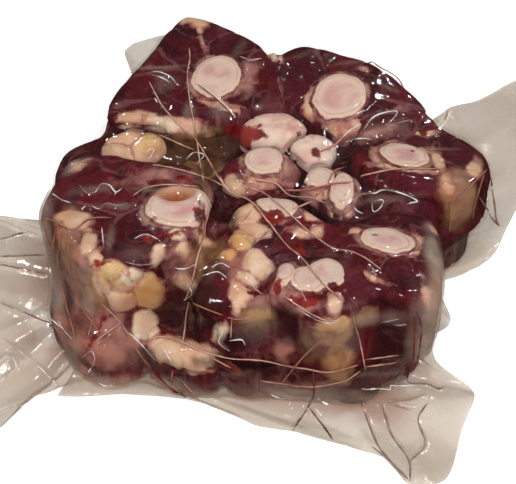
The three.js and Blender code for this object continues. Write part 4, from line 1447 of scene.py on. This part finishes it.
GRISTLE = make_lump_material("gristle", colour(250, 226, 208), colour(240, 200, 184),
                             colour(212, 138, 132), fleck_scale=50.0, lobes=60.0)
SLACK_TISSUE = make_lump_material("slack_tissue", colour(164, 128, 96), colour(96, 66, 46),
                                  colour(62, 36, 26), fleck_scale=90.0, lobes=160.0)
LUMPS = {"E": GRISTLE, "G": GRISTLE, "M": SLACK_TISSUE}
for name, piece in PIECES.items():
    piece.data.materials.append(LUMPS.get(name, TISSUE))
print("lumps:", {name: material.name for name, material in LUMPS.items()})

# %% [markdown]
# ## Small crinkles
# Between the long creases the film is full of short ones with nothing in them. They are walked over
# the film from random places in random directions, with a fixed seed. The photograph shows no
# creases at the back, so longer walks there join the long creases as their like.

# %% Random crinkles
CRINKLES, BACK_THREADS = 420, 22


def walk(start, way, steps):
    """A line of points that wanders over the film from a start."""
    path, place = [], Vector(start)
    for _ in range(steps):
        spot, normal, _, _ = FILM_TREE.find_nearest(place)
        path.append(spot)
        way = (way - normal * way.dot(normal)).normalized()
        bend = float(wobble([spot], 14)[0]) * 0.25
        way = (way + normal.cross(way) * bend).normalized()
        place = spot + way
    return np.array(path)


random = np.random.default_rng(5)
crinkle_runs = []
for _ in range(CRINKLES):
    spot = FILM_POINTS[random.integers(len(FILM_POINTS))]
    angle = random.uniform(0, 2 * math.pi)
    way = Vector((math.cos(angle), math.sin(angle), random.uniform(-0.5, 0.5)))
    crinkle_runs.append(walk(spot, way, int(random.uniform(5, 22))))
behind = FILM_POINTS[(FILM_POINTS[:, 1] > 70) & (FILM_POINTS[:, 2] > 4) & (FILM_POINTS[:, 2] < 70)]
for number in range(BACK_THREADS):
    angle = random.uniform(-0.7, 0.7) + math.pi / 2 * (number % 2)
    spot = behind[random.integers(len(behind))]
    run = walk(spot, Vector((math.cos(angle), 0, math.sin(angle))), int(random.uniform(20, 55)))
    kind = ("tan", "brown", "clear")[number % 3]
    CREASE_RUNS.append((kind, CREASES[kind][0], run))
print("short crinkles:", len(crinkle_runs), "and creases in all:", len(CREASE_RUNS))

# %% Raise the film along the creases
RIDGE_HEIGHT, RIDGE_WIDTH = 1.1, 1.15
CLEAR_RIDGE, CRINKLE_HEIGHT = 1.7, 0.9


def densely(run):
    """A run with points half a millimetre apart, and for each a share that fades towards the ends."""
    steps = np.linalg.norm(np.diff(run, axis=0), axis=1)
    place = np.concatenate([[0], np.cumsum(steps)])
    count = max(int(place[-1] / 0.5), 2)
    at = np.linspace(0, place[-1], count)
    dense = np.column_stack([np.interp(at, place, run[:, k]) for k in range(3)])
    fade_in = np.minimum(1, np.minimum(at, at[-1] - at) / 3)
    return dense, fade_in


def ridge_samples():
    samples, heights = [], []
    for kind, width, run in CREASE_RUNS:
        dense, share = densely(run)
        samples.append(dense)
        height = CLEAR_RIDGE if kind == "clear" else RIDGE_HEIGHT
        heights.append(height * (0.6 + 0.4 * share) * (0.8 + 0.3 * wobble(dense, 6)))
    for run in crinkle_runs:
        dense, share = densely(run)
        samples.append(dense)
        heights.append(CRINKLE_HEIGHT * share * (0.6 + 0.5 * wobble(dense, 9)))
    return np.concatenate(samples), np.concatenate(heights)


RIDGE_POINTS, RIDGE_HEIGHTS = ridge_samples()
ridge_tree = KDTree(len(RIDGE_POINTS))
for index, point in enumerate(RIDGE_POINTS):
    ridge_tree.insert(point, index)
ridge_tree.balance()


def ridge_lift(points):
    """How far each film point is raised by the creases near it."""
    lift = np.zeros(len(points))
    for index, point in enumerate(points):
        _, nearest, away = ridge_tree.find(point)
        if away < 3 * RIDGE_WIDTH:
            lift[index] = RIDGE_HEIGHTS[nearest] * math.exp(-(away / RIDGE_WIDTH) ** 2)
    return lift


FILM_LIFT = ridge_lift(FILM_POINTS)
print("film points on a ridge:", int((FILM_LIFT > 0.2).sum()))

# %% [markdown]
# ## Gap under the film
# Where the film touches meat it turns clear, and where it bridges a gap, juice and air behind it
# make it milky. The distance from each film point to the nearest piece inside says which it is.

# %% Film pieces
def contents_tree():
    points, faces, start = [], [], 0
    for piece in PIECES.values():
        mesh = piece.data
        flat = np.empty(len(mesh.vertices) * 3, np.float32)
        mesh.vertices.foreach_get("co", flat)
        points.append(flat.reshape(-1, 3) * 1000)
        faces += [[i + start for i in face.vertices] for face in mesh.polygons]
        start += len(mesh.vertices)
    return BVHTree.FromPolygons(np.concatenate(points).tolist(), faces)


CONTENTS_TREE = contents_tree()


def gap_under(points):
    return np.array([CONTENTS_TREE.find_nearest(Vector(p), 30)[3] or 30 for p in points])


film_gap = gap_under(FILM_POINTS)
ripple = 0.12 * wobble(FILM_POINTS, 3.2) + 0.25 * wobble(FILM_POINTS, 9)
above_floor = smoothstep(0.5, 4, FILM_POINTS[:, 2])
lifted = inward(FILM_POINTS, FILM_FACES, -FILM_LIFT - (ripple + film_swell) * above_floor)
lifted[:, 2] = np.maximum(lifted[:, 2], 0)
film_stain, film_milk_and_sheen = patch_distance(FILM_POINTS, PLACED_STAINS), milk_and_sheen_share(FILM_POINTS)
film = make_piece("film_over_block", lifted, FILM_FACES,
                  dict(gap=film_gap, lift=FILM_LIFT, stain=film_stain, milk_and_sheen=film_milk_and_sheen))
print("gap under the film: middle value", np.median(film_gap).round(2), "most", film_gap.max().round(1))


# %% Wings as thin closed sheets
def make_wing(wing):
    sheet = WING_SHEETS[wing["name"]]
    width = wing["across"] + 1
    sheet = sheet + [0, 0, 1] * ridge_lift(sheet)[:, None]
    normals = vertex_normals(sheet, width)
    half = WING_THICKNESS / 2
    points = np.concatenate([sheet + normals * half, sheet - normals * half])
    points[:, 2] = np.maximum(points[:, 2], 0.05)
    faces = sheet_faces(wing)
    index = np.arange(len(sheet)).reshape(-1, width)
    rim = rim_of(index)
    corner, along, _, down = sheet[faces[0]]
    flip = np.cross(along - corner, down - corner)[2] < 0
    upper = faces[:, ::-1] if flip else faces
    lower = (faces if flip else faces[:, ::-1]) + len(sheet)
    after = np.roll(rim, -1)
    sides = np.stack([rim, rim + len(sheet), after + len(sheet), after], axis=1)
    sides = sides[:, ::-1] if flip else sides
    faces = upper.tolist() + lower.tolist() + sides.tolist()
    edge = np.tile(np.repeat(np.linspace(0, 1, wing["out"] + 1), width), 2)
    return make_piece("wing_" + wing["name"], points, faces, dict(out=edge))


wing_pieces = [make_wing(wing) for wing in WINGS]
print("wings:", [piece.name for piece in wing_pieces])

# %% [markdown]
# ## Clear film in Blender
# Film this thin bends light too little to see, so it needs no glass. A transparent shader lets the
# contents through, a glossy one adds the reflection, and Fresnel mixes them, stronger at a low
# angle. Over that lies a milky share where air and juice are trapped. On the block the same share
# also paints sheen: soft streaks of painted highlight, and a pale line along each raised ridge. In
# the wings two walls with air between them scatter most of the light.

# %% Film materials
def film_normal(tree, fine_scale, strength):
    """Small folds and a slight unevenness, as a normal."""
    place = object_place(tree)
    warp = vector_sum(tree, "MULTIPLY", noise(tree, place, 45.0, output="Color"), (0.02, 0.02, 0.02))
    edges = cell_edges(tree, vector_sum(tree, "ADD", place, warp), fine_scale)
    fold = fade(tree, edges, 0.0, 0.09, 1.0, 0.0)
    where = blotches(tree, 34.0, 0.46, 0.62)
    broad = times(tree, noise(tree, place, 110.0), 0.7)
    height = sum_up(tree, "MULTIPLY_ADD", times(tree, fold, where), 0.7, broad)
    return put(tree, "ShaderNodeBump", {"Strength": strength, "Distance": 0.001, "Height": height}).outputs[0]


def finish_film(tree, tint, haze_colour, share, bump, roughness, index, most_mirrored):
    """Clear film with reflections up to a largest share, and a milky share over it."""
    clear = put(tree, "ShaderNodeBsdfTransparent", {"Color": tint})
    gloss = put(tree, "ShaderNodeBsdfGlossy", {"Color": (1, 1, 1, 1), "Roughness": roughness, "Normal": bump})
    fresnel = put(tree, "ShaderNodeFresnel", {"IOR": index, "Normal": bump}).outputs[0]
    mirrored = sum_up(tree, "MINIMUM", fresnel, most_mirrored)
    film_part = put(tree, "ShaderNodeMixShader", {0: mirrored, 1: clear.outputs[0], 2: gloss.outputs[0]})
    milk = put(tree, "ShaderNodeBsdfDiffuse", {"Color": haze_colour, "Normal": bump})
    glow = put(tree, "ShaderNodeBsdfTranslucent", {"Color": haze_colour, "Normal": bump})
    cloudy = put(tree, "ShaderNodeMixShader", {0: 0.4, 1: milk.outputs[0], 2: glow.outputs[0]})
    whole = put(tree, "ShaderNodeMixShader", {0: share, 1: film_part.outputs[0], 2: cloudy.outputs[0]})
    put(tree, "ShaderNodeOutputMaterial", {"Surface": whole.outputs[0]})


def make_block_film():
    material, tree = new_material("clear_film")
    cloud = blotches(tree, 55.0, 0.35, 0.7)
    bridge = fade(tree, point_value(tree, "gap"), 3.0, 10.0, 0.0, 0.05)
    share = times(tree, bridge, fade(tree, cloud, 0.0, 1.0, 0.4, 1.2))
    # Painted highlight: the film turns a little milky along its raised ridges, so they show pale.
    ridge = fade(tree, point_value(tree, "lift"), 0.5, 1.5, 0.0, 0.16)
    share = sum_up(tree, "MAXIMUM", share, ridge)
    # Milky film and painted sheen: the table's broad patches are milk, its thin streaks painted highlight.
    milk_and_sheen = times(tree, point_value(tree, "milk_and_sheen"), fade(tree, cloud, 0.0, 1.0, 0.7, 1.1))
    share = sum_up(tree, "MAXIMUM", share, milk_and_sheen)
    stain = use_group(tree, RAGGED_EDGE, "Mask", Distance=point_value(tree, "stain"), Softness=4.0,
                      Raggedness=8.0, Scale=90.0)
    tint = blend(tree, times(tree, stain, 0.5), (1, 0.99, 0.985, 1), (0.88, 0.73, 0.62, 1))
    milk = blend(tree, times(tree, stain, 0.8), colour(226, 204, 186), colour(214, 168, 142))
    bump = film_normal(tree, 42.0, 0.24)
    finish_film(tree, tint, milk, share, bump, roughness=0.1, index=1.4, most_mirrored=0.1)
    return material


def make_wing_film():
    material, tree = new_material("doubled_film")
    share = fade(tree, point_value(tree, "out"), 0.0, 0.5, 0.08, 0.42)
    cloud = blotches(tree, 30.0, 0.35, 0.7)
    share = times(tree, share, fade(tree, cloud, 0.0, 1.0, 0.6, 1.15))
    juice = fade(tree, point_value(tree, "out"), 0.15, 0.62, 0.9, 0.0)
    juice = times(tree, juice, blotches(tree, 24.0, 0.3, 0.6))
    tint = blend(tree, juice, (0.93, 0.905, 0.87, 1), (0.55, 0.36, 0.29, 1))
    bump = film_normal(tree, 11.0, 0.7)
    finish_film(tree, tint, colour(230, 214, 196), share, bump, roughness=0.16, index=1.5, most_mirrored=0.3)
    return material


BLOCK_FILM, WING_FILM = make_block_film(), make_wing_film()
film.data.materials.append(BLOCK_FILM)
for piece in wing_pieces:
    piece.data.materials.append(WING_FILM)
print("film materials:", BLOCK_FILM.name, WING_FILM.name)

# %% [markdown]
# ## Juice in the creases
# Threads of juice run inside the creases. Geometry Nodes turn lines of points into curves, vary
# their thickness with noise, and sweep a small circle along them. The tree's inputs are named, so
# the same tree could draw thicker threads elsewhere.

# %% Tree for threads
def new_geometry_tree(name, inputs):
    tree = new_tree(name, "GeometryNodeTree")
    tree.interface.new_socket("Geometry", in_out="INPUT", socket_type="NodeSocketGeometry")
    for key, value in inputs.items():
        tree.interface.new_socket(key, in_out="INPUT", socket_type="NodeSocketFloat").default_value = value
    tree.interface.new_socket("Material", in_out="INPUT", socket_type="NodeSocketMaterial")
    tree.interface.new_socket("Geometry", in_out="OUTPUT", socket_type="NodeSocketGeometry")
    return tree, put(tree, "NodeGroupInput").outputs


def make_thread_tree():
    """Bare lines made curves, and a tube of uneven thickness swept along them."""
    inputs = {"Spacing": 0.0007, "Thickness": 1.0, "Unevenness": 0.5}
    tree, given = new_geometry_tree("juice_thread", inputs)
    curve = put(tree, "GeometryNodeMeshToCurve", {"Mesh": given["Geometry"]}).outputs[0]
    curve = put(tree, "GeometryNodeResampleCurve", {"Curve": curve, "Length": given["Spacing"]},
                mode="LENGTH").outputs[0]
    lumps = minus(tree, noise(tree, put(tree, "GeometryNodeInputPosition").outputs[0], 220.0), 0.5)
    uneven = sum_up(tree, "MULTIPLY_ADD", lumps, times(tree, given["Unevenness"], 4.0), 1.0)
    base = put(tree, "GeometryNodeInputNamedAttribute", {"Name": "thread_radius"},
               data_type="FLOAT").outputs[0]
    thickness = times(tree, base, given["Thickness"])
    radius = times(tree, thickness, sum_up(tree, "MAXIMUM", uneven, 0.35))
    ring = put(tree, "GeometryNodeCurvePrimitiveCircle", {"Resolution": 8, "Radius": 1.0}).outputs[0]
    tube = put(tree, "GeometryNodeCurveToMesh", {"Curve": curve, "Profile Curve": ring, "Scale": radius,
                                                 "Fill Caps": True}).outputs[0]
    tube = put(tree, "GeometryNodeSetShadeSmooth", {"Geometry": tube}).outputs[0]
    whole = put(tree, "GeometryNodeRealizeInstances", {"Geometry": tube}).outputs[0]
    whole = put(tree, "GeometryNodeSetMaterial",
                {"Geometry": whole, "Material": given["Material"]}).outputs[0]
    put(tree, "NodeGroupOutput", {"Geometry": whole})
    return tree


def grow(piece, tree, values):
    """Runs a geometry tree on a piece and keeps the result as its plain mesh."""
    modifier = piece.modifiers.new("grow", "NODES")
    modifier.node_group = tree
    for item in tree.interface.items_tree:
        if item.item_type == "SOCKET" and item.in_out == "INPUT" and item.name in values:
            modifier[item.identifier] = values[item.name]
    graph = bpy.context.evaluated_depsgraph_get()
    mesh = bpy.data.meshes.new_from_object(piece.evaluated_get(graph), preserve_all_data_layers=True,
                                           depsgraph=graph)
    piece.modifiers.clear()
    piece.data = mesh
    return piece


THREAD_TREE = make_thread_tree()
print("inputs of the thread tree:", [i.name for i in THREAD_TREE.interface.items_tree if i.in_out == "INPUT"])

# %% Juice threads
THREAD_LIFT, HIGHLIGHT_FOLD_LIFT = 0.55, 0.15
HUES = {"tan": 0.25, "cream": 0.0, "pink": 0.5, "brown": 0.75, "red": 1.0, "seam": 1.0}


def make_juice_material():
    """Juice in a crease in colours by its hue, with painted light and shade: the face of the tube turned out
    from the film is paler, its sides darker.
    """
    material, tree = new_material("juice_in_creases")
    hue = point_value(tree, "hue")
    base = blend(tree, fade(tree, hue, 0.0, 0.25), colour(236, 204, 180), colour(220, 170, 150))
    base = blend(tree, fade(tree, hue, 0.25, 0.5), base, colour(206, 120, 118))
    base = blend(tree, fade(tree, hue, 0.5, 0.75), base, colour(176, 120, 92))
    base = blend(tree, fade(tree, hue, 0.75, 1.0), base, colour(124, 40, 36))
    # Painted shade: darker colours for the sides of the tube.
    side = blend(tree, fade(tree, hue, 0.5, 1.0), colour(140, 84, 72), colour(84, 22, 20))
    normal = put(tree, "ShaderNodeNewGeometry").outputs["Normal"]
    outward = put(tree, "ShaderNodeAttribute", attribute_name="outward").outputs["Vector"]
    painted_light_facing = put(tree, "ShaderNodeVectorMath", {0: normal, 1: outward},
                 operation="DOT_PRODUCT").outputs["Value"]
    # Painted highlight and shade: pale where the tube's normal points out from the film, dark where it turns
    # sideways.
    base = blend(tree, fade(tree, painted_light_facing, 0.4, 0.9), side, base)
    wet = blotches(tree, 140.0, 0.5, 0.68)
    base = blend(tree, times(tree, wet, 0.5), base, colour(128, 62, 54))
    shader = put(tree, "ShaderNodeBsdfPrincipled",
                 {"Base Color": base, "Roughness": 0.3, "Specular IOR Level": 0.3})
    put(tree, "ShaderNodeOutputMaterial", {"Surface": shader.outputs[0]})
    return material


def make_fold_highlight_material():
    """Painted highlights along sharp folds in clear film: white lines that glow a little, strong in random
    stretches and nearly gone elsewhere.
    """
    material, tree = new_material("painted_highlight_fold")
    clear = put(tree, "ShaderNodeBsdfTransparent", {"Color": (0.98, 0.97, 0.96, 1)})
    milk = put(tree, "ShaderNodeBsdfDiffuse", {"Color": (0.98, 0.95, 0.93, 1)})
    gloss = put(tree, "ShaderNodeBsdfGlossy", {"Color": (1, 1, 1, 1), "Roughness": 0.25})
    # Painted highlight: a white emission makes the fold lines glow, though they are no lamp.
    glow = put(tree, "ShaderNodeEmission", {"Color": (1, 0.97, 0.95, 1), "Strength": 0.9})
    milk = put(tree, "ShaderNodeMixShader", {0: 0.35, 1: milk.outputs[0], 2: glow.outputs[0]})
    bright = put(tree, "ShaderNodeMixShader", {0: 0.12, 1: milk.outputs[0], 2: gloss.outputs[0]})
    share = fade(tree, noise(tree, object_place(tree), 90.0), 0.4, 0.62, 0.12, 1.0)
    whole = put(tree, "ShaderNodeMixShader", {0: share, 1: clear.outputs[0], 2: bright.outputs[0]})
    put(tree, "ShaderNodeOutputMaterial", {"Surface": whole.outputs[0]})
    return material


def make_lines(name, runs, height):
    """A mesh of bare lines at a height over the film. Each run is a width, a hue and its points."""
    points, ways, edges, radii, hues = [], [], [], [], []
    for width, hue, run in runs:
        dense, share = densely(run)
        for index, (point, fade_in) in enumerate(zip(dense, share)):
            spot, normal, _, _ = FILM_TREE.find_nearest(Vector(point))
            if index:
                edges.append((len(points) - 1, len(points)))
            points.append(spot)
            ways.append(normal if normal.z > -0.2 else -normal)
            radii.append(width / 1000 * (0.3 + 0.7 * fade_in))
            hues.append(hue)
    points, ways = np.array(points), np.array(ways)
    on_block = gap_to_wings(points) > NEAR_WING
    points = points + ways * (height(points) + np.where(on_block, swell(points), 0))[:, None]
    lines = bpy.data.objects.new(name, bpy.data.meshes.new(name))
    lines.data.from_pydata(points / 1000, edges, [])
    for key, values in (("thread_radius", radii), ("hue", hues), ("outward", ways)):
        store(lines.data, key, values)
    bpy.context.scene.collection.objects.link(lines)
    return lines


NEAR_WING = 1.5
wing_trees = [BVHTree.FromPolygons(WING_SHEETS[wing["name"]].tolist(), sheet_faces(wing).tolist())
              for wing in WINGS]


def gap_to_wings(points):
    return np.array([min(tree.find_nearest(Vector(p), 50)[3] or 50 for tree in wing_trees) for p in points])


juice_runs = [(width, HUES[kind], run) for kind, width, run in CREASE_RUNS if kind != "clear"]
threads = make_lines("juice_threads", juice_runs, lambda points: np.full(len(points), THREAD_LIFT))
grow(threads, THREAD_TREE, {"Material": make_juice_material()})
# The clear creases get the same tubes in a white, faintly glowing material: painted highlights along the
# folds.
highlight_fold_runs = [(width, 0.0, run) for kind, width, run in CREASE_RUNS if kind == "clear"]
folds = make_lines("painted_highlight_folds", highlight_fold_runs, lambda points: ridge_lift(points) + HIGHLIGHT_FOLD_LIFT)
grow(folds, THREAD_TREE, {"Material": make_fold_highlight_material(), "Unevenness": 0.8})
print("faces in the juice threads:", len(threads.data.polygons), "and the folds:", len(folds.data.polygons))

# %% [markdown]
# ## Floor and light
# The pack lies on plain white under soft light. A white floor mirrored in the film would hide the
# dark meat behind a grey veil, so to mirrored rays the floor is dark, as the counter in the
# photograph is. The big soft lamp overhead is not mirrored either. Small lamps give the glints.

# %% Floor and lamps
def make_floor():
    mesh = bpy.data.meshes.new("floor")
    mesh.from_pydata([(-4, -4, 0), (4, -4, 0), (4, 4, 0), (-4, 4, 0)], [], [(0, 1, 2, 3)])
    floor = bpy.data.objects.new("floor", mesh)
    floor.location.z = -0.0002
    bpy.context.scene.collection.objects.link(floor)
    material, tree = new_material("white_floor")
    seen = put(tree, "ShaderNodeLightPath").outputs
    white = put(tree, "ShaderNodeBsdfPrincipled", {"Base Color": (0.9, 0.9, 0.9, 1), "Roughness": 0.8,
                                                   "Emission Color": (1, 1, 1, 1), "Emission Strength": 0.66})
    dim = put(tree, "ShaderNodeBsdfDiffuse", {"Color": (0.3, 0.28, 0.27, 1)})
    dark = put(tree, "ShaderNodeBsdfDiffuse", {"Color": (0.05, 0.045, 0.04, 1)})
    unseen = put(tree, "ShaderNodeMixShader",
                 {0: seen["Is Glossy Ray"], 1: dim.outputs[0], 2: dark.outputs[0]})
    direct = sum_up(tree, "MAXIMUM", seen["Is Camera Ray"], seen["Is Transmission Ray"])
    whole = put(tree, "ShaderNodeMixShader", {0: direct, 1: unseen.outputs[0], 2: white.outputs[0]})
    put(tree, "ShaderNodeOutputMaterial", {"Surface": whole.outputs[0]})
    mesh.materials.append(material)
    return floor


def make_lamp(name, place, size, power, glint=True):
    """A soft lamp that lights the pack unseen, or a small one that shows only as a glint in the film."""
    light = bpy.data.lights.new(name, "AREA")
    light.shape = "DISK"
    light.energy, light.size = power, size
    lamp = bpy.data.objects.new(name, light)
    lamp.location = place
    lamp.rotation_euler = (-Vector(place)).to_track_quat("-Z", "Y").to_euler()
    lamp.visible_glossy = glint
    lamp.visible_diffuse = not glint
    bpy.context.scene.collection.objects.link(lamp)


def make_sky():
    world = bpy.data.worlds.new("sky")
    world.use_nodes = True
    tree = world.node_tree
    tree.nodes.clear()
    mirrored = put(tree, "ShaderNodeLightPath").outputs["Is Glossy Ray"]
    strength = fade(tree, mirrored, 0.0, 1.0, 0.36, 0.07)
    shader = put(tree, "ShaderNodeBackground", {0: (1, 0.985, 0.96, 1), 1: strength})
    put(tree, "ShaderNodeOutputWorld", {0: shader.outputs[0]})
    bpy.context.scene.world = world


floor = make_floor()
make_sky()
make_lamp("overhead", (0.1, -0.8, 1.1), size=0.9, power=11.4, glint=False)
GLINTS = [(-0.7, 0.5, 1.0), (0.6, -0.4, 1.2), (0.5, 1.0, 1.3), (-0.5, -0.5, 1.2), (0.9, 0.3, 0.8)]
for number, place in enumerate(GLINTS):
    make_lamp(f"glint_{number}", place, size=0.1, power=2.4)
bpy.context.scene.view_settings.view_transform = "Standard"

# %% [markdown]
# ## Into the frame
# Nothing in the pack moves, so every piece rides on the one body. The film stands in for the packed
# solid.

# %% Frame
visible = [film, threads, folds, *wing_pieces, *PIECES.values()]
for piece in visible:
    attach(piece, "root")
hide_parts("vacuum_pack")
triangles = sum(len(face.vertices) - 2 for piece in visible for face in piece.data.polygons)
print("pieces:", len(visible), "triangles:", triangles)
